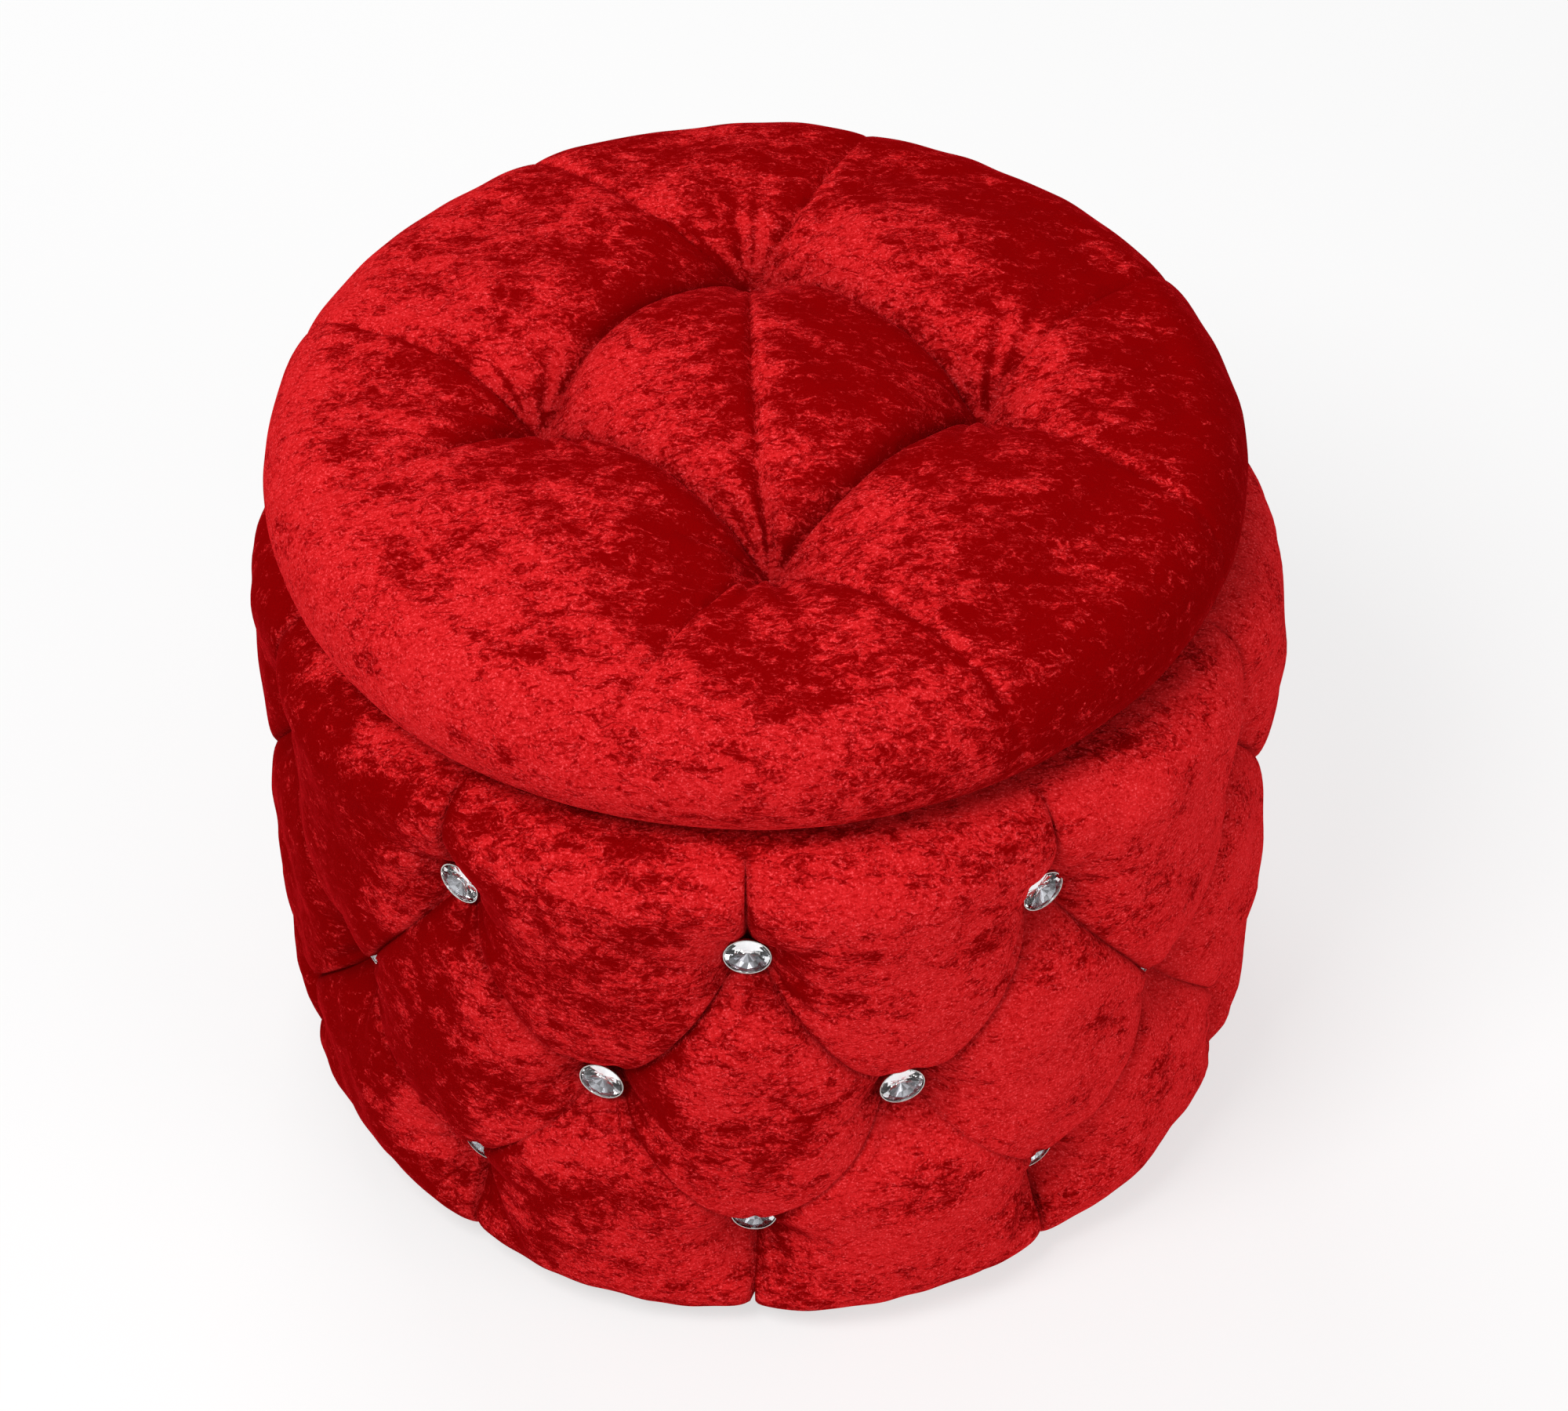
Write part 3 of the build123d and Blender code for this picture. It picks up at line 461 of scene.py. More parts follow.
full = np.ones(len(angle))
sag, lean, bow, hood, pucker = (np.zeros(len(angle)) for _ in range(5))
for around, z, dx, dy, depth in slanting:
    x, y = round_gap(angle, around) * UNROLL_R, up - z
    near = (np.abs(x - dx / 2) < SLANTING_NEAR) & (np.abs(y - dy / 2) < SLANTING_NEAR)
    off_x, off_y, side, share = from_segment(x[near], y[near], dx, dy)
    d = np.hypot(off_x, off_y)
    depth = depth * random.uniform(*DEPTH_VARIES) + (1 - depth) * (2 * share - 1) ** 2
    full[near] *= 1 - depth * (1 - fold_rise(d, REACH * random.uniform(*REACH_VARIES), PLUMP))
    bow[near] += depth * 4 * share * (1 - share) * np.exp(-(d / BOW_W) ** 2)
    above = side * np.sign(dx) < 0
    sag[near] += np.where(above, overhang(depth, d, SAG_W), 0)
for around, z, dx, dy in upright:
    x, y = round_gap(angle, around) * UNROLL_R, up - z
    near = np.abs(x) < UPRIGHT_NEAR
    off_x, off_y, side, share = from_segment(x[near], y[near], dx, dy)
    d = np.hypot(off_x, off_y)
    full[near] *= 1 - UPRIGHT_DEPTH * (1 - fold_rise(d, UPRIGHT_REACH * random.uniform(*REACH_VARIES), PLUMP))
    hand = random.choice([-1, 1])
    lean[near] += np.where(x[near] * hand > 0, overhang(-hand, d, LEAN_W), 0)

to_tuft = np.full(len(angle), 1e9)
for around, z in tufts:
    x, y = round_gap(angle, around) * UNROLL_R, up - z
    d = np.hypot(x, y)
    to_side = round_gap(around, 0)
    on_flank = HOOD_FROM < abs(degrees(to_side)) < HOOD_TO
    beyond = y * (z == ROWS_MM[2]) - x * np.sign(to_side) * (on_flank and z != ROWS_MM[0])
    hood = np.where(d < to_tuft, beyond, hood)
    to_tuft = np.minimum(to_tuft, d)
    near = d < TUFT_NEAR
    pucker[near] += gathers(x[near], y[near], GATHERS, GATHER_L, random)


def by_turn(turns, shares):
    """A share for every point by its angle from the front, in degrees."""
    return np.interp(np.abs(round_gap(angle, 0)), np.radians(turns), shares)


flat = np.interp(np.arange(row_count), [18, 26, row_count - 10, row_count - 4], [0, 1, 1, 0])[row_at]
full = 1 - (1 - full) * flat
spread, funnel, clear = (np.interp(up, ROWS_MM[::-1], by_row) for by_row in (TUFT_SPREAD, FUNNEL_D, CLEAR))
tuft_pull = TUFT_D * np.exp(-(to_tuft / spread) ** 2) + funnel * np.exp(-(to_tuft / FUNNEL_SPREAD) ** 2)
tuft_pull *= 1 - HOOD * np.clip(hood / HOOD_W, 0, 1)
pucker *= by_turn([25, 50], [1, 1.8])
clear = clear * by_turn([40, 52, 80, 95], [1, 0.45, 0.45, 1])
still = 1 - np.exp(-(to_tuft / clear) ** 2)

plump = by_turn([0, 28, 58, 120, 180], [1, 0.9, 0, 0, 0.3])[:, None]
low, high = pleat_line[row_at], pillow_line[row_at] * (1 - plump) + plump_line[row_at] * plump
spot = low + (high - low) * full[:, None]
side_on = np.clip((spot[:, 0] - 195) / 16, 0, 1) * flat
loose = np.column_stack([np.cos(angle) * UNROLL_R, np.sin(angle) * UNROLL_R, up])
swell = uneven(loose, DRUM_RIPPLES) + RIGHT_FULL * np.sin(angle) - TRIM
swell -= LOW_DRAWN * towards(angle, 90, 35) * np.clip((122 - up) / 40, 0, 1)
swell -= RIM_DRAWN * towards(angle, 115, 22) * np.clip((up - 235) / 25, 0, 1)
radius = spot[:, 0] + side_on * (swell * full - tuft_pull - GATHER_D * pucker)
radius = np.where(to_tuft < CUP_NEAR, np.maximum(radius, CUP_R), radius)
level = np.maximum(spot[:, 1] - (SAG * sag + BOW * bow) * still * side_on, HEM_Z)
angle_out = angle + LEAN * lean * still * side_on / UNROLL_R
drum_points = hoop(radius, level, angle_out)
# Painted shade: darker deep in the pleats and in the gathers round the buttons.
drum_fold_shade = np.clip(1 - full * FOLD_FALL + DRUM_PUCKER_SHADE * pucker, 0, 1) * flat
print("drum cover radius", radius.min().round(1), "to", radius.max().round(1), "mm")

# %% [markdown]
# The velvet and its foam fill the space between the pillows and the hardboard wall, so the mesh goes on
# under the base board, up the wall and over the top ring until it meets its own first row.

# %% faces of the drum cover
behind = [(150.4, 7.5), (165, 7.5), (178.9, 7.5)] + [(178.9, z) for z in np.linspace(20, 280, 14)]
behind += [(178.9, 286.1), (165, 286.1), (152.1, 286.1), (152.1, 280), (152.1, 274.6)]
around = np.arange(columns) * tau / columns
drum_points = np.vstack([drum_points] + [hoop(r, z, around) for r, z in behind])
drum_fold_shade = np.concatenate([drum_fold_shade, np.zeros(len(behind) * columns)])
row_count += len(behind)
faces = []
for r in range(row_count):
    upper_band = row_of_upper <= r < row_of_upper + BAND
    lower_band = row_of_upper + BAND <= r < row_of_upper + 2 * BAND
    for c in range(columns):
        n = (c + 1) % columns
        a, b = r * columns + c, r * columns + n
        d, e = (r + 1) % row_count * columns + c, (r + 1) % row_count * columns + n
        falling = (c // BAND) % 2 == 0
        if not (upper_band or lower_band):
            faces.append((a, d, e, b))
        elif falling == upper_band:
            faces += [(a, d, e), (a, e, b)]
        else:
            faces += [(a, d, b), (b, d, e)]
drum_cover = new_piece("drum_cover", drum_points * MM, faces, drum_velvet, {"painted_fold_shade": drum_fold_shade})

# %% [markdown]
# The lid is a firm round cushion with four deep blind tufts. Creases run from tuft to tuft, one crosses
# the middle from the back tuft to the front one, and two pleats fan out from each tuft to the rim. The
# creases follow no grid, so the flat disc is triangulated with the creases as fixed edges, and then bent
# over the outline of the lid.

# %% outline of the lid
lid_outline = np.vstack([run((0, 369.5), (60, 369), 12), run((65, 368.8), (130, 364.6), 12),
                         run((136, 363.9), (178, 354.4), 10), arc((179, 321), 33, 88, -86, 40),
                         run((176, 288.3), (143, 288.6), 8)])
lid_along = length_along(lid_outline)
LID_REACH = lid_along[-1]
heading = np.gradient(lid_outline, lid_along, axis=0)
lid_out = np.column_stack([-heading[:, 1], heading[:, 0]])
belly = lid_along[np.argmax(lid_outline[:, 0])]
print("lid cover reach", round(LID_REACH), "belly at", round(belly))

# %% creases of the lid
LID_TURN = radians(4.5)
TUFT_OUT = 96.0
CREASE_POINTS, CREASE_DEPTH, CREASE_REACH = 70, 1.0, 46.0
CREASE_BOW_HANG = ((0, 2.5), (8, -3.0), (10, -3.0), (-5, 4.0))
MIDDLE_POINTS, MIDDLE_DEPTH, MIDDLE_REACH, MIDDLE_HANG = 100, 0.40, 22.0, 1.5
PLEAT_POINTS, PLEAT_DEPTHS, PLEAT_REACH, PLEAT_HANG = 110, (0.55, 0.10), 21.0, 2.0
PLEAT_ENDS = {0: (33.0, -17.0), 3: (-69.9, -108.1), 2: (-145.8, 166.5), 1: (120.8, 69.7)}
ELBOW_SHARE, ELBOW_OUT, PAST_BELLY = 0.72, 32, 18


def on_disc(turn, out):
    return np.array([out * sin(turn), -out * cos(turn)])


def bowed(start, middle, end, count):
    t = np.linspace(0, 1, count)[:, None]
    return (1 - t) ** 2 * start + 2 * t * (1 - t) * middle + t ** 2 * end


tuft_turn = [LID_TURN + k * pi / 2 for k in range(4)]
lid_tufts = np.array([on_disc(turn, TUFT_OUT) for turn in tuft_turn])
creases = []
for k, (bow, hang) in enumerate(CREASE_BOW_HANG):
    a, b = lid_tufts[k], lid_tufts[(k + 1) % 4]
    middle = (a + b) / 2
    line = bowed(a, middle + middle / np.linalg.norm(middle) * 2 * bow, b, CREASE_POINTS)
    creases.append((line, np.full(CREASE_POINTS, CREASE_DEPTH), CREASE_REACH, hang))
line = bowed(lid_tufts[2], np.array([-6.0, 0.0]), lid_tufts[0], MIDDLE_POINTS)
creases.append((line, np.full(MIDDLE_POINTS, MIDDLE_DEPTH), MIDDLE_REACH, MIDDLE_HANG))
for k, ends in PLEAT_ENDS.items():
    for end in ends:
        side = round_gap(radians(end), tuft_turn[k])
        elbow = on_disc(tuft_turn[k] + ELBOW_SHARE * side, TUFT_OUT + ELBOW_OUT)
        line = bowed(lid_tufts[k], elbow, on_disc(radians(end), belly + PAST_BELLY), PLEAT_POINTS)
        depths = np.linspace(*PLEAT_DEPTHS, PLEAT_POINTS)
        creases.append((line, depths, PLEAT_REACH, PLEAT_HANG * np.sign(side)))
print("lid creases:", len(creases))

# %% [markdown]
# The cushion sinks into a pit at each tuft and into a fold at each crease, and one side of a crease hangs a
# little over it. At the rim it is trimmed by hand to fit the board, so it isn't quite round.

# %% shape of the lid cover
LID_FOLD, LID_TUFT_D, LID_GATHER_D, LID_PUCKER_SHADE = 13.0, 20.5, 5.8, 0.3
LID_PLUMP, LID_HANG_W, LID_STILL = 2.2, 8, 25
LID_GATHERS, LID_GATHER_L = 13, 72.0
BOWL, BOWL_R, WELL, WELL_R = 0.6, 50, 0.4, 14
LID_RIPPLES = ((1.6, 90, 21), (0.5, 30, 22))
LID_TRIM, TRIM_RIGHT, TRIM_BACK, TRIM_BACK_RIGHT = 1.3, 2.0, 1.5, 4.5


def lid_shape(flat):
    """Bends points of the flat disc over the lid, and gives the painted shade of each one from its folds and
    gathers.
    """
    full = np.ones(len(flat))
    hung = np.zeros((len(flat), 2))
    for line, depths, reach, hang in creases:
        gap, depth, over = np.full(len(flat), 1e9), np.zeros(len(flat)), np.zeros((len(flat), 2))
        for p, q, here in zip(line[:-1], line[1:], depths):
            off_x, off_y, side, _ = from_segment(*(flat - p).T, *(q - p))
            d = np.hypot(off_x, off_y)
            nearer = d < gap
            gap[nearer], depth[nearer] = d[nearer], here
            back = np.where(side * hang > 0, -1 / (d + 1e-6), 0)[:, None] * np.column_stack([off_x, off_y])
            over[nearer] = back[nearer]
        full *= 1 - depth * (1 - fold_rise(gap, reach, LID_PLUMP))
        hung += over * overhang(abs(hang) * depth, gap, LID_HANG_W)[:, None]
    pit = np.zeros(len(flat))
    pucker = np.zeros(len(flat))
    draw = np.random.default_rng(9)
    for tuft in lid_tufts:
        away = flat - tuft
        d = np.hypot(*away.T)
        pit += BOWL * np.exp(-(d / BOWL_R) ** 2) + WELL * np.exp(-d / WELL_R)
        pucker += gathers(*away.T, LID_GATHERS, LID_GATHER_L, draw)
        hung *= np.clip(d / LID_STILL, 0, 1)[:, None]
    laid = flat + hung
    out = np.hypot(*laid.T)
    turn = np.arctan2(laid[:, 0], -laid[:, 1])
    open_part = np.interp(out, [0, belly - 40, belly + 20, belly + 45], [1, 1, 0.35, 0])
    base, outward = (np.column_stack([np.interp(out, lid_along, part[:, j]) for j in (0, 1)])
                     for part in (lid_outline, lid_out))
    trim = LID_TRIM + TRIM_RIGHT * np.sin(turn) + TRIM_BACK * np.cos(turn)
    trim = trim + TRIM_BACK_RIGHT * towards(turn, 140, 35)
    base[:, 0] -= trim * np.clip((base[:, 0] - 150) / 60, 0, 1)
    swell = uneven(np.column_stack([flat, np.zeros(len(flat))]), LID_RIPPLES)
    swell *= np.interp(out, [belly - 70, belly - 10], [1, 0.45])
    rise = open_part * (swell * full - LID_FOLD * (1 - full) - LID_TUFT_D * pit - LID_GATHER_D * pucker)
    spot = base + outward * rise[:, None]
    # Painted shade: darker deep in the creases and in the gathers round the tufts.
    fold = np.clip((1 - full * FOLD_FALL + LID_PUCKER_SHADE * pucker) * open_part, 0, 1)
    return hoop(spot[:, 0], spot[:, 1], turn), fold


# %% [markdown]
# The field of points between the creases is a set of rings. It is finer round the tufts, where the gathers
# are narrow, and keeps clear of the creases, so that no thin triangle lies along a fold.

# %% triangles of the lid cover
LID_GRAIN, TUFT_GRAIN, TUFT_FINE_R = 2.6, 1.5, 40
CREASE_CLEAR, BATCH = 1.3, 50
laid, edges = [], []
for line, _, _, _ in creases:
    first = len(laid)
    laid += line.tolist()
    edges += [(first + i, first + i + 1) for i in range(len(line) - 1)]
fixed = np.array(laid)
rings = []
outs = np.arange(LID_GRAIN, LID_REACH - 0.1, LID_GRAIN)
for i, out in enumerate(np.append(outs, LID_REACH)):
    real_r = np.interp(out, lid_along, lid_outline[:, 0])
    count = max(6, int(tau * real_r / LID_GRAIN))
    turn = (np.arange(count) + 0.5 * (i % 2)) * tau / count
    rings.append(hoop(out, 0, turn)[:, :2])
rim_count = len(rings[-1])
for tuft in lid_tufts:
    for i, out in enumerate(np.arange(TUFT_GRAIN, TUFT_FINE_R, TUFT_GRAIN)):
        count = int(tau * out / TUFT_GRAIN)
        turn = (np.arange(count) + 0.5 * (i % 2)) / count * tau
        rings.insert(0, tuft + hoop(out, 0, turn)[:, :2])
field = np.vstack([[[0.0, 0.0]]] + rings)
keep = np.ones(len(field), bool)
for start in range(0, len(fixed), BATCH):
    part = fixed[start:start + BATCH]
    close = np.hypot(*(field[:, None] - part).transpose(2, 0, 1)).min(1)
    keep &= close > CREASE_CLEAR
keep[-rim_count:] = True
flat_points = np.vstack([fixed, field[keep]])
made = delaunay_2d_cdt([Vector(p) for p in flat_points.tolist()], edges, [], 0, 0.02)
flat_points = np.array([tuple(p) for p in made[0]])
lid_points, lid_fold_shade = lid_shape(flat_points)
lid_faces = [tuple(f) for f in made[2]]
first = flat_points[list(lid_faces[0])]
if np.cross(first[1] - first[0], first[2] - first[0]) < 0:
    lid_faces = [tuple(reversed(f)) for f in lid_faces]
print("lid triangles:", len(lid_faces))

# %% [markdown]
# The cover ends in a hem under the lid board. From there the mesh goes back up round the edge of the
# board and across its top, so that cover and foam are one closed cushion.

# %% closed lid cushion
ROUND_THE_BOARD = ((143.2, 289.7), (165, 289.75), (190.1, 289.75), (190.1, 301.9), (150, 301.9),
                   (100, 301.9), (50, 301.9))
rim = np.where(np.hypot(*flat_points.T) > LID_REACH - 0.05)[0]
rim = rim[np.argsort(np.arctan2(flat_points[rim, 0], -flat_points[rim, 1]))]
rim_turn = np.arctan2(flat_points[rim, 0], -flat_points[rim, 1])
last = rim
for r, z in ROUND_THE_BOARD:
    here = np.arange(len(lid_points), len(lid_points) + len(rim))
    lid_points = np.vstack([lid_points, hoop(r, z, rim_turn)])
    for i in range(len(rim)):
        n = (i + 1) % len(rim)
        lid_faces.append((last[i], here[i], here[n], last[n]))
    last = here
lid_faces.append(tuple(last[::-1]))
lid_fold_shade = np.concatenate([lid_fold_shade, np.zeros(len(lid_points) - len(lid_fold_shade))])
lid_cushion = new_piece("lid_cushion", lid_points * MM, lid_faces, lid_velvet, {"painted_fold_shade": lid_fold_shade})

# %% [markdown]
# The buttons are cut stones set in thin metal cups. The cups are the CAD's own turned shapes. A stone is a
# flat table, a crown of small facets, a thin girdle and a pointed back, so it is written out as a list of
# facets, flat shaded. Its silvered back is a second shell just behind it, with a painted reflection on
# each facet, dark and bright in turn with random changes, because that is what sparkles through the table.

# %% glass and silvering
glass, steps, shader = new_material("cut_crystal")
steps.feed(shader, {"Base Color": (0.97, 0.98, 1, 1), "Roughness": 0.0, "IOR": 1.52,
                    "Transmission Weight": 1.0})

foil, steps, shader = new_material("silvered_back")
# Painted reflection: each facet of the silvered back is painted dark or bright.
tone = steps.add("ShaderNodeAttribute", attribute_name="painted_facet_reflection").outputs["Fac"]
silvering = steps.mix(tone, (0.03, 0.03, 0.035, 1), (0.50, 0.50, 0.52, 1))
steps.feed(shader, {"Base Color": silvering, "Metallic": 0.9, "Roughness": 0.16})

# %% facets of one stone
STONE_R, TABLE_R, CULET_X, GIRDLE_X, GIRDLE_T, TABLE_X = 9.35, 5.7, 201.1, 206.05, 0.6, 208.35
BACK_GAP, BACK_DROP, BACK_R, BACK_X = 0.1, 0.08, 4.6, 203.3
DULL_FACET, BRIGHT_FACET, FACET_VARIES, DULLEST = 0.35, 0.85, 0.25, 0.06


def ring_of(radius, x, count, offset=0.0):
    turn = (np.arange(count) + offset) * tau / count
    return np.column_stack([np.full(count, x), radius * np.sin(turn), radius * np.cos(turn)])


stone_points = np.vstack([ring_of(TABLE_R, TABLE_X, 8), ring_of(STONE_R, GIRDLE_X + GIRDLE_T, 16),
                          ring_of(STONE_R, GIRDLE_X, 16), [[CULET_X, 0, 0]]])
stone_faces = [tuple(range(8))]
for k in range(8):
    t, t2 = k, (k + 1) % 8
    g0, g1, g2 = 8 + (2 * k - 1) % 16, 8 + 2 * k, 8 + (2 * k + 1) % 16
    stone_faces += [(t, g0, g1), (t, g1, g2), (t, g2, t2)]
for k in range(16):
    n = (k + 1) % 16
    stone_faces += [(8 + k, 24 + k, 24 + n, 8 + n), (24 + k, 40, 24 + n)]
stone = new_piece("one_stone", stone_points * MM, [face[::-1] for face in stone_faces], glass, smooth=False)

back_points = np.vstack([ring_of(STONE_R - BACK_GAP, GIRDLE_X - BACK_DROP, 16),
                         ring_of(BACK_R, BACK_X, 16, 0.5), [[CULET_X - BACK_GAP, 0, 0]]])
back_faces = []
for k in range(16):
    n = (k + 1) % 16
    back_faces += [(16 + k, n, k), (16 + k, 16 + n, n), (32, 16 + n, 16 + k)]
silver = new_piece("one_back", back_points * MM, back_faces, foil, smooth=False)
draw = np.random.default_rng(5)
# Painted reflections: the facets take dull and bright tones in turn, with random changes.
facet_reflections = np.where(np.arange(len(back_faces)) % 2, BRIGHT_FACET, DULL_FACET)
facet_reflections = np.clip(facet_reflections + draw.uniform(-FACET_VARIES, FACET_VARIES, len(back_faces)), DULLEST, 1)
silver.data.attributes.new("painted_facet_reflection", "FLOAT", "FACE").data.foreach_set("value", facet_reflections.astype(np.float32))

# %% [markdown]
# Ten buttons stand in each of the three rings, so a small Geometry Nodes tree repeats one stone. A stone is
# made at its place in front of the axis, so each copy stands on the axis at the height of its ring, is
# turned to its own angle, and has a fixed random spin so that no two stones sparkle alike.

# %% ring of buttons tree
SPIN_SEED = 7
RING_SOCKETS = ("Upper Height", "Middle Height", "Lower Height")


def button_rings_tree():
    tree = bpy.data.node_groups.new("button_rings", "GeometryNodeTree")
    tree.interface.new_socket("Geometry", in_out="OUTPUT", socket_type="NodeSocketGeometry")
    kinds = {"Button": "NodeSocketObject", "Count": "NodeSocketInt", **dict.fromkeys(RING_SOCKETS, FLOAT),
             "Finish": "NodeSocketMaterial"}
    for name, kind in kinds.items():
        tree.interface.new_socket(name, in_out="INPUT", socket_type=kind)
    steps = Steps(tree)
    given = steps.add("NodeGroupInput").outputs
    copy = steps.add("GeometryNodeObjectInfo", {"Object": given["Button"]}).outputs["Geometry"]
    index = steps.get("GeometryNodeInputIndex")
    rings = []
    for ring, (name, half) in enumerate(zip(RING_SOCKETS, (0.0, 0.5, 0.0))):
        axis = steps.get("ShaderNodeCombineXYZ", {"Z": given[name]})
        points = steps.get("GeometryNodePoints", {"Count": given["Count"], "Position": axis})
        chance = steps.add("FunctionNodeRandomValue", {
            2: 0.0, 3: tau, "ID": steps.scaled(given["Count"], ring, index), "Seed": SPIN_SEED}, data_type="FLOAT")
        turn = steps.math("DIVIDE", steps.scaled(index, tau, tau * half), given["Count"])
        turn = steps.math("SUBTRACT", turn, pi / 2)
        facing = steps.get("ShaderNodeCombineXYZ", {"X": chance.outputs[1], "Z": turn})
        rings.append(steps.get("GeometryNodeInstanceOnPoints", {"Points": points, "Instance": copy,
                                                                "Rotation": facing}))
    joined = steps.add("GeometryNodeJoinGeometry")
    for ring in reversed(rings):
        steps.feed(joined, {0: ring})
    real = steps.get("GeometryNodeRealizeInstances", {"Geometry": joined.outputs[0]})
    done = steps.get("GeometryNodeSetMaterial", {"Geometry": real, "Material": given["Finish"]})
    steps.feed(steps.add("NodeGroupOutput"), {0: done})
    return tree


button_rings = button_rings_tree()


def all_buttons(name, button, material):
    """Three rings of copies of one button part, as a plain mesh."""
    holder = new_piece(name + "_rings", np.zeros((1, 3)), [], material)
    rings = holder.modifiers.new("rings", "NODES")
    rings.node_group = button_rings
    sizes = {"Button": button, "Count": AROUND, "Finish": material,
             **{name: z * MM for name, z in zip(RING_SOCKETS, ROWS_MM)}}
    for socket in button_rings.interface.items_tree:
        if socket.in_out == "INPUT":
            rings[socket.identifier] = sizes[socket.name]
    ready = holder.evaluated_get(bpy.context.evaluated_depsgraph_get())
    mesh = bpy.data.meshes.new_from_object(ready)
    mesh.name = name
    bpy.data.objects.remove(holder)
    piece = bpy.data.objects.new(name, mesh)
    scene.collection.objects.link(piece)
    print(name, "faces", len(mesh.polygons), "material", [m.name for m in mesh.materials])
    return piece


# %% all the stones
crystal_stones = all_buttons("crystal_stones", stone, glass)
crystal_backs = all_buttons("crystal_backs", silver, foil)
bpy.data.objects.remove(stone)
bpy.data.objects.remove(silver)

# %% [markdown]
# Cloth is made visible by its threads. One group draws two sets of threads at right angles, with a little
# unevenness, for the black lining, the dust cover and the twine.

# %% woven cloth group
SURFACE = {"Colour": COLOUR, "Roughness": FLOAT, "Height": FLOAT}
CLOUD_SCALE, FUZZ_SCALE = 35.0, 900.0
woven_cloth, s, given, result = shader_group(
    "woven_cloth", {"Where": VECTOR, "Threads": FLOAT, "Light": COLOUR, "Deep": COLOUR}, SURFACE)
parts = s.add("ShaderNodeSeparateXYZ", {0: given["Where"]}).outputs
across = s.math("SINE", s.math("MULTIPLY", s.math("ADD", parts[0], parts[2]), given["Threads"]))
down = s.math("SINE", s.math("MULTIPLY", s.math("SUBTRACT", parts[1], parts[2]), given["Threads"]))
weave = s.ramp(s.math("MULTIPLY", across, down), -1.0, 1.0, "LINEAR")
cloudy = s.noise(given["Where"], CLOUD_SCALE, 4.0, 0.6)[0]
fuzz = s.noise(given["Where"], FUZZ_SCALE, 2.0, 0.6)[0]
tone = s.scaled(weave, 0.5, s.math("MULTIPLY", s.math("ADD", cloudy, fuzz), 0.3))
s.feed(result, {"Colour": s.mix(tone, given["Deep"], given["Light"]), "Roughness": s.scaled(fuzz, -0.2, 0.98),
                "Height": s.scaled(weave, 0.6, s.math("MULTIPLY", fuzz, 0.3))})

# %% [markdown]
# The frame is plywood, pine and hardboard. One grain group serves them all: long streaks along one axis,
# finer pores, and a slow change of tone. Scale, streak length and colours are set in each material.

# %% wood grain group
PORES_PER_STREAK = 14.0
wood_grain, s, given, result = shader_group(
    "wood_grain",
    {"Where": VECTOR, "Stretch": VECTOR, "Scale": FLOAT, "Pale": COLOUR, "Deep": COLOUR}, SURFACE)
drawn = s.vector("MULTIPLY", given["Where"], given["Stretch"])
streaks = s.noise(drawn, given["Scale"], 5.0, 0.6, 0.8)[0]
pores = s.noise(drawn, s.math("MULTIPLY", given["Scale"], PORES_PER_STREAK), 2.0, 0.6)[0]
tone = s.ramp(s.swing(pores, 0.3, streaks), 0.3, 0.72)
s.feed(result, {"Colour": s.mix(tone, given["Deep"], given["Pale"]), "Roughness": s.scaled(pores, 0.3, 0.55),
                "Height": s.scaled(pores, 0.5, streaks)})

# %% [markdown]
# Metal and moulded plastic look flat when they are perfectly even. This group gives them faint handling
# marks: a slow change of tone, fine scratches, and a matching change of roughness.

# %% handled surface group
SCRATCH_STRETCH, SCRATCH_SCALE = (1, 9, 4), 900.0
handled_surface, s, given, result = shader_group(
    "handled_surface",
    {"Where": VECTOR, "Colour": COLOUR, "Worn": COLOUR, "Smooth": FLOAT, "Rough": FLOAT, "Scale": FLOAT},
    SURFACE)
marks = s.noise(given["Where"], given["Scale"], 4.0, 0.65)[0]
lines = s.noise(s.vector("MULTIPLY", given["Where"], SCRATCH_STRETCH), SCRATCH_SCALE, 2.0, 0.6)[0]
wear = s.ramp(s.swing(lines, 0.4, marks), 0.42, 0.7)
span = s.math("SUBTRACT", given["Rough"], given["Smooth"])
s.feed(result, {"Colour": s.mix(wear, given["Colour"], given["Worn"]),
                "Roughness": s.scaled(wear, span, given["Smooth"]), "Height": s.scaled(lines, 0.4, marks)})

# %% [markdown]
# The parts inside and underneath are cloth, wood, metal or moulded plastic. A finish is one of the three
# groups with its own values, so that no part repeats another one's nodes.

# %% finishes of the hidden parts
BUMP_DEPTH, WOOD_BUMP = 0.0004, 0.2


def finish_from(name, group, values, bump, metallic=0.0):
    material, steps, shader = new_material(name)
    surface = steps.add("ShaderNodeGroup", node_tree=group)
    steps.feed(surface, {"Where": steps.add("ShaderNodeTexCoord").outputs["Object"], **values})
    raised = steps.get("ShaderNodeBump", {"Height": surface.outputs["Height"], "Strength": bump,
                                          "Distance": BUMP_DEPTH})
    steps.feed(shader, {"Base Color": surface.outputs["Colour"], "Roughness": surface.outputs["Roughness"],
                        "Normal": raised, "Metallic": metallic})
    return material


def cloth(name, threads, light, deep, bump):
    return finish_from(name, woven_cloth, {"Threads": threads, "Light": (*light, 1), "Deep": (*deep, 1)}, bump)


def wood(name, stretch, scale, pale, deep):
    values = {"Stretch": stretch, "Scale": scale, "Pale": (*pale, 1), "Deep": (*deep, 1)}
    return finish_from(name, wood_grain, values, WOOD_BUMP)


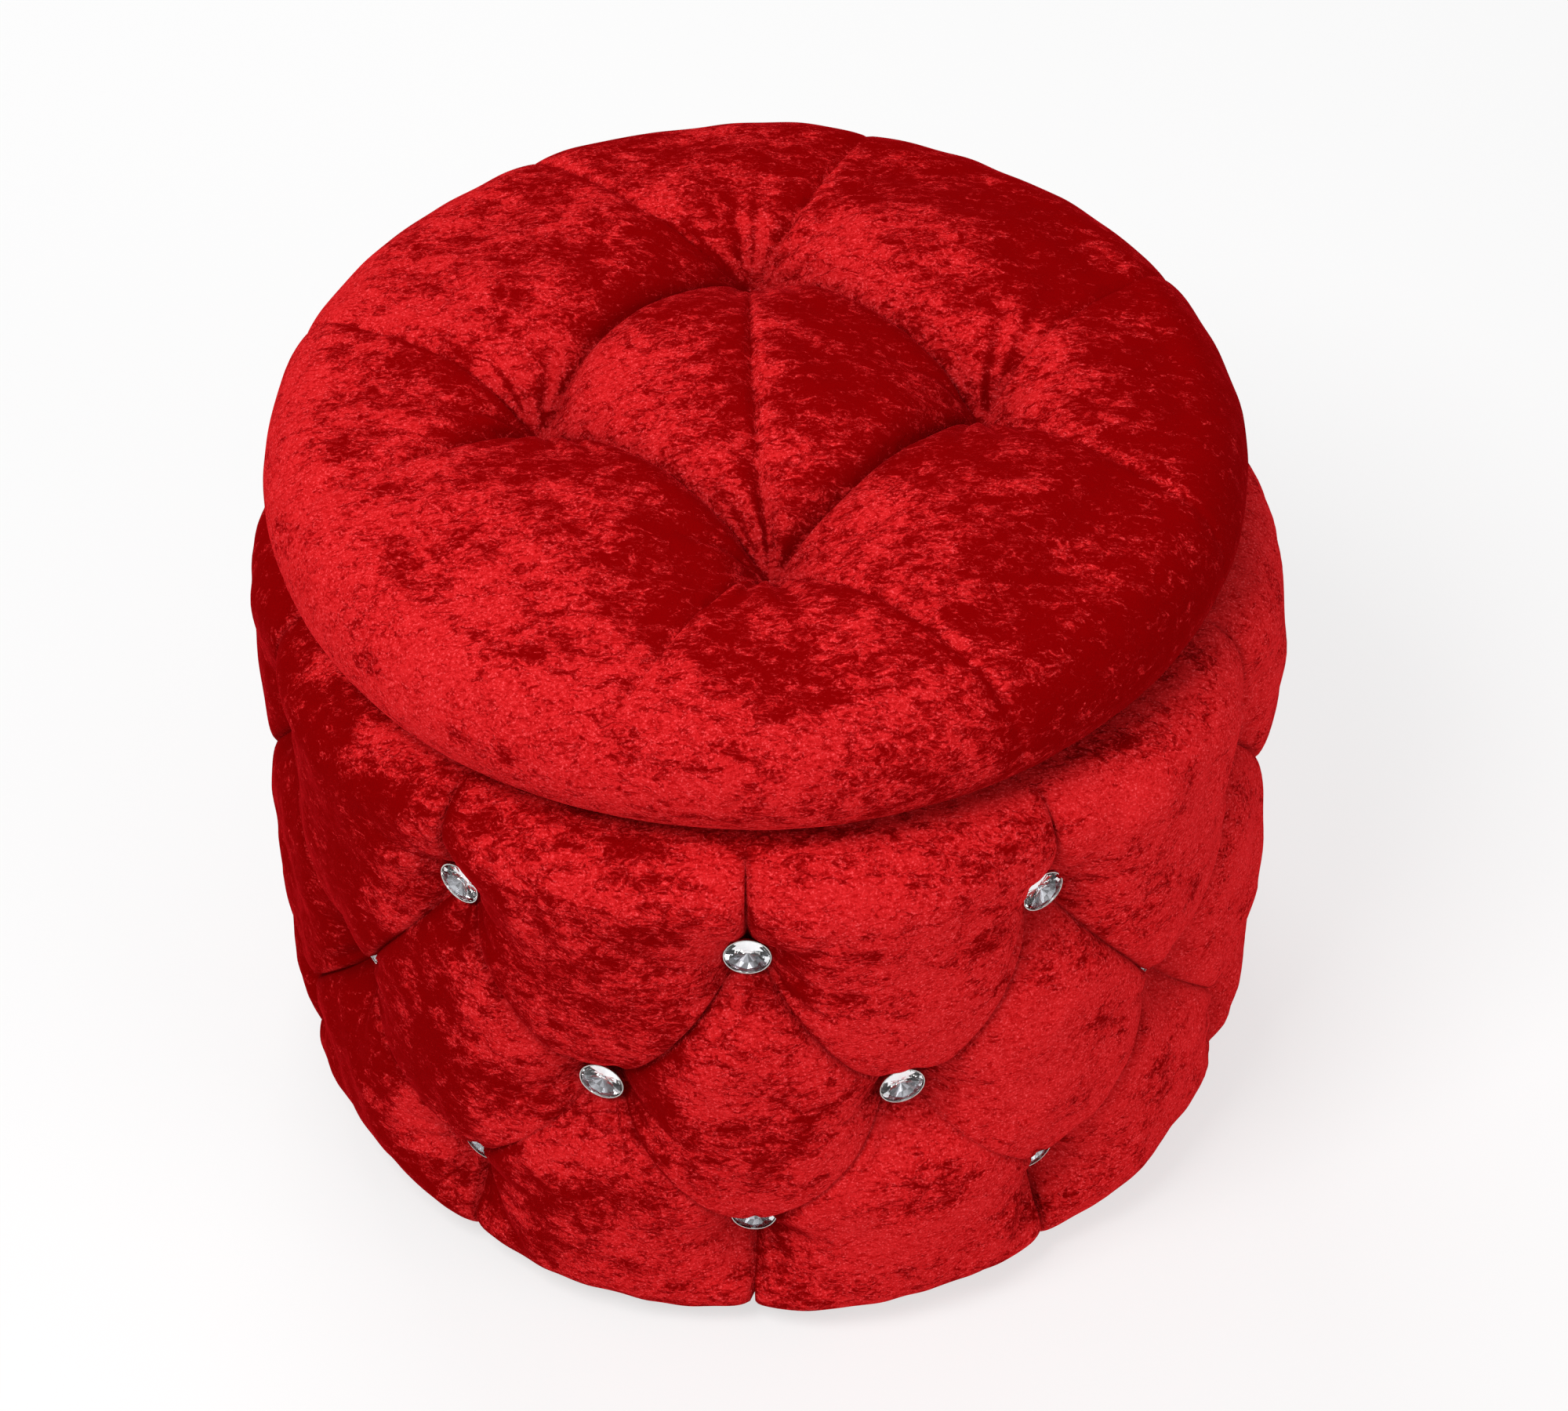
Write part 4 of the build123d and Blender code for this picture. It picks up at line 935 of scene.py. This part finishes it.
def hard(name, colour, worn, smooth, rough, scale, bump, metallic):
    values = {"Colour": (*colour, 1), "Worn": (*worn, 1), "Smooth": smooth, "Rough": rough, "Scale": scale}
    return finish_from(name, handled_surface, values, bump, metallic)


black_lining = cloth("black_lining_cloth", 5200.0, (0.05, 0.05, 0.055), (0.012, 0.012, 0.014), 0.4)
dust_cloth = cloth("dust_cover_cloth", 3600.0, (0.06, 0.06, 0.065), (0.015, 0.015, 0.018), 0.5)
twine = cloth("waxed_twine", 4200.0, (0.72, 0.66, 0.52), (0.42, 0.36, 0.26), 0.6)
plywood = wood("birch_plywood", (1, 10, 40), 14.0, (0.66, 0.48, 0.29), (0.44, 0.28, 0.14))
pine = wood("planed_pine", (9, 9, 0.8), 22.0, (0.70, 0.50, 0.28), (0.48, 0.29, 0.12))
hardboard = wood("smooth_hardboard", (3, 3, 3), 60.0, (0.20, 0.105, 0.05), (0.11, 0.05, 0.022))
nickel = hard("polished_nickel", (0.60, 0.59, 0.57), (0.44, 0.43, 0.42), 0.10, 0.28, 150.0, 0.05, 1.0)
zinc = hard("zinc_plated_steel", (0.62, 0.61, 0.56), (0.40, 0.40, 0.37), 0.25, 0.5, 220.0, 0.1, 1.0)
staple_wire = hard("galvanised_wire", (0.58, 0.58, 0.58), (0.38, 0.38, 0.38), 0.3, 0.55, 400.0, 0.1, 1.0)
glide_plastic = hard("moulded_glide", (0.018, 0.018, 0.018), (0.05, 0.05, 0.048), 0.3, 0.6, 160.0, 0.2, 0.0)
toggle_plastic = hard("moulded_toggle", (0.72, 0.72, 0.69), (0.55, 0.55, 0.52), 0.3, 0.5, 160.0, 0.15, 0.0)

# %% [markdown]
# The frame, the fixings and the feet show as the CAD has them, so they only take a finish, chosen by how
# the name of the node begins. The covered tuft buttons take the velvet of the lid.

# %% finishes on the CAD parts that stay
finished = 0
for material, starts in (
        (plywood, ("base_board", "top_ring", "lid_board", "locating_plug")), (pine, "batten_"),
        (hardboard, "wall_wrap"), (nickel, ("button_cups", "plug_washers")),
        (twine, ("button_twines", "lid_tuft_twines")),
        (toggle_plastic, ("twine_toggles", "lid_tuft_toggles")),
        (zinc, ("base_screws", "ring_screws", "plug_screws", "glide_nails")), (glide_plastic, "glides"),
        (staple_wire, ("dust_staples", "lid_staples")), (lid_velvet, "lid_tuft_buttons")):
    for node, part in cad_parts.items():
        if node.startswith(starts):
            part.data.materials.clear()
            part.data.materials.append(material)
            finished += 1
print("finished CAD parts:", finished)

# %% [markdown]
# The well is lined with black cloth on card, the underside is closed by a thin dust cover, and the plug
# under the lid is wrapped in the same lining. Each is a thin cloth shell turned from its outline, with
# faint unevenness, a lapped seam at the back of the well, and small gathers where the lining is drawn
# round the edge of the plug.

# %% cloth shells
CLOTH_COLUMNS = 240
SEAM_T, SEAM_W, WELL_LINING_R, WELL_FACE_R = 0.5, 8, 148, 149
PLUG_GATHERS, PLUG_GATHER_D, PLUG_EDGE_R, PLUG_EDGE_W = 54, 0.22, 136, 5
STAPLES, SCALLOP, SCALLOP_FROM, SCALLOP_W = 20, 1.2, 165, 20


def turned_cloth(name, outline, material, capped, wrinkle):
    """Thin closed shell turned from an outline of (radius, height) in mm, moved by wrinkle(points, turn)."""
    turn = np.arange(CLOTH_COLUMNS) * tau / CLOTH_COLUMNS
    count = len(outline)
    points = np.vstack([hoop(r, z, turn) for r, z in outline])
    points += wrinkle(points, np.tile(turn, count))
    rows = np.arange(len(points)).reshape(count, CLOTH_COLUMNS)
    faces = []
    for i in range(count - 1 if capped else count):
        this, following = rows[i], rows[(i + 1) % count]
        for c in range(CLOTH_COLUMNS):
            n = (c + 1) % CLOTH_COLUMNS
            faces.append((this[c], following[c], following[n], this[n]))
    if capped:
        faces += [tuple(rows[0]), tuple(rows[-1][::-1])]
    return new_piece(name, points * MM, faces, material)


def outward(amount, turn):
    return hoop(1, 0, turn) * amount[:, None]


def upward(amount):
    return np.column_stack([0 * amount, 0 * amount, amount])


def stretched(points, turn):
    """Faint waves across the wall, and a lapped seam at the back."""
    seam = SEAM_T * np.clip(1.5 - np.abs(round_gap(turn, pi)) * WELL_LINING_R / SEAM_W, 0, 1)
    facing_in = np.hypot(points[:, 0], points[:, 1]) < WELL_FACE_R
    return outward(np.where(facing_in, 0.3 * ripple(points, 60, 31) + 0.2 - seam, 0), turn)


def laid_flat(points, turn):
    """Faint waves on the upper side."""
    return upward(np.where(points[:, 2] > 24, 0.25 * ripple(points, 50, 32) - 0.25, 0))


def drawn_round(points, turn):
    """Gathers where the lining turns up round the plug."""
    out = np.hypot(points[:, 0], points[:, 1])
    fold = PLUG_GATHER_D * np.cos(PLUG_GATHERS * turn + 1.5 * np.sin(5 * turn))
    fold = fold * np.exp(-((out - PLUG_EDGE_R) / PLUG_EDGE_W) ** 2)
    return upward(np.where(points[:, 2] < 277.4, np.abs(fold), 0))


def pulled_tight(points, turn):
    """Shallow scallops between the staples of the dust cover."""
    out = np.hypot(points[:, 0], points[:, 1])
    pull = SCALLOP * (1 - np.cos(STAPLES * turn)) / 2 * np.clip((out - SCALLOP_FROM) / SCALLOP_W, 0, 1)
    return outward(-pull, turn) + upward(0.12 * ripple(points, 40, 33))


def disc(z, *radii):
    return [(r, z) for r in radii]


# %% linings and dust cover
wall_heights = np.linspace(24.8, 275.6, 60)
well_wall = turned_cloth(
    "well_wall_lining",
    [(149.7, z) for z in wall_heights[::-1]] + [(149.3, 22.9), (148.5, 22.9)]
    + [(148.1, z) for z in wall_heights] + [(148.5, 276.7), (149.3, 276.7)],
    black_lining, False, stretched)
well_floor = turned_cloth(
    "well_floor_lining",
    disc(24.5, 20, 40, 60, 80, 100, 115, 130, 140, 145, 147) + [(147.6, 23.3)]
    + disc(22.7, 146.5, 130, 100, 60, 20),
    black_lining, True, laid_flat)
plug_wrap = turned_cloth(
    "plug_wrap_lining",
    disc(277.75, 20, 70, 110, 130, 141.0)
    + [(141.45, 278.6), (141.45, 289.6), (142.15, 289.6), (142.15, 280.0), (141.6, 278.0), (140.2, 277.05)]
    + disc(277.0, 139, 137, 135, 133, 130, 125, 110, 70, 20),
    black_lining, True, drawn_round)
dust_sheet = turned_cloth(
    "dust_sheet",
    disc(5.65, 20, 60, 100, 140, 165, 175, 185) + [(185.6, 5.4)]
    + disc(5.15, 185, 175, 165, 140, 100, 60, 20),
    dust_cloth, True, pulled_tight)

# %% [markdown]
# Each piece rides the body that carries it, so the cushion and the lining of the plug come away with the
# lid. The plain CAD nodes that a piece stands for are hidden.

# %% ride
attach(drum_cover, "base")
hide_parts("side_cover", "rim_cover", "wall_foam")
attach(lid_cushion, "lid")
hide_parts("lid_cover", "lid_foam")
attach(crystal_stones, "base")
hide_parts("crystals_upper", "crystals_middle", "crystals_lower")
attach(crystal_backs, "base")

for lining, node, body, material_slot, on, size, area in (
        (well_wall, "wall_lining", "base", "black_lining", "base_board", (0.254, 0.933), 0.2370),
        (well_floor, "floor_lining", "base", "black_lining", "base_board", (0.2956, 0.2956), 0.0686),
        (plug_wrap, "plug_lining", "lid", "black_lining", "locating_plug", (0.310, 0.310), 0.0750),
        (dust_sheet, "dust_cover", "base", "dust_fabric", "base_board", (0.372, 0.372), 0.1087)):
    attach(lining, body)
    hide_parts(node)

# %% [markdown]
# The ottoman stands on a pale floor that catches its shadow. Part of the brightness is a glow for the
# camera alone, so the floor runs into the white background without lighting the drum from below.

# %% floor
FLOOR_GLOW = 0.65
pale, steps, shader = new_material("pale_floor")
steps.feed(shader, {"Base Color": (0.9, 0.9, 0.9, 1), "Roughness": 0.8})
glow = steps.get("ShaderNodeEmission", {"Color": WHITE, "Strength": 1.0})
share = steps.math("MULTIPLY", steps.add("ShaderNodeLightPath").outputs["Is Camera Ray"], FLOOR_GLOW)
blend = steps.get("ShaderNodeMixShader", {0: share, 1: shader.outputs[0], 2: glow})
steps.feed(pale.node_tree.nodes["Material Output"], {"Surface": blend})
corners = [(-4, -4, 0), (4, -4, 0), (4, 4, 0), (-4, 4, 0)]
floor = new_piece("floor", corners, [(0, 1, 2, 3)], pale, smooth=False)
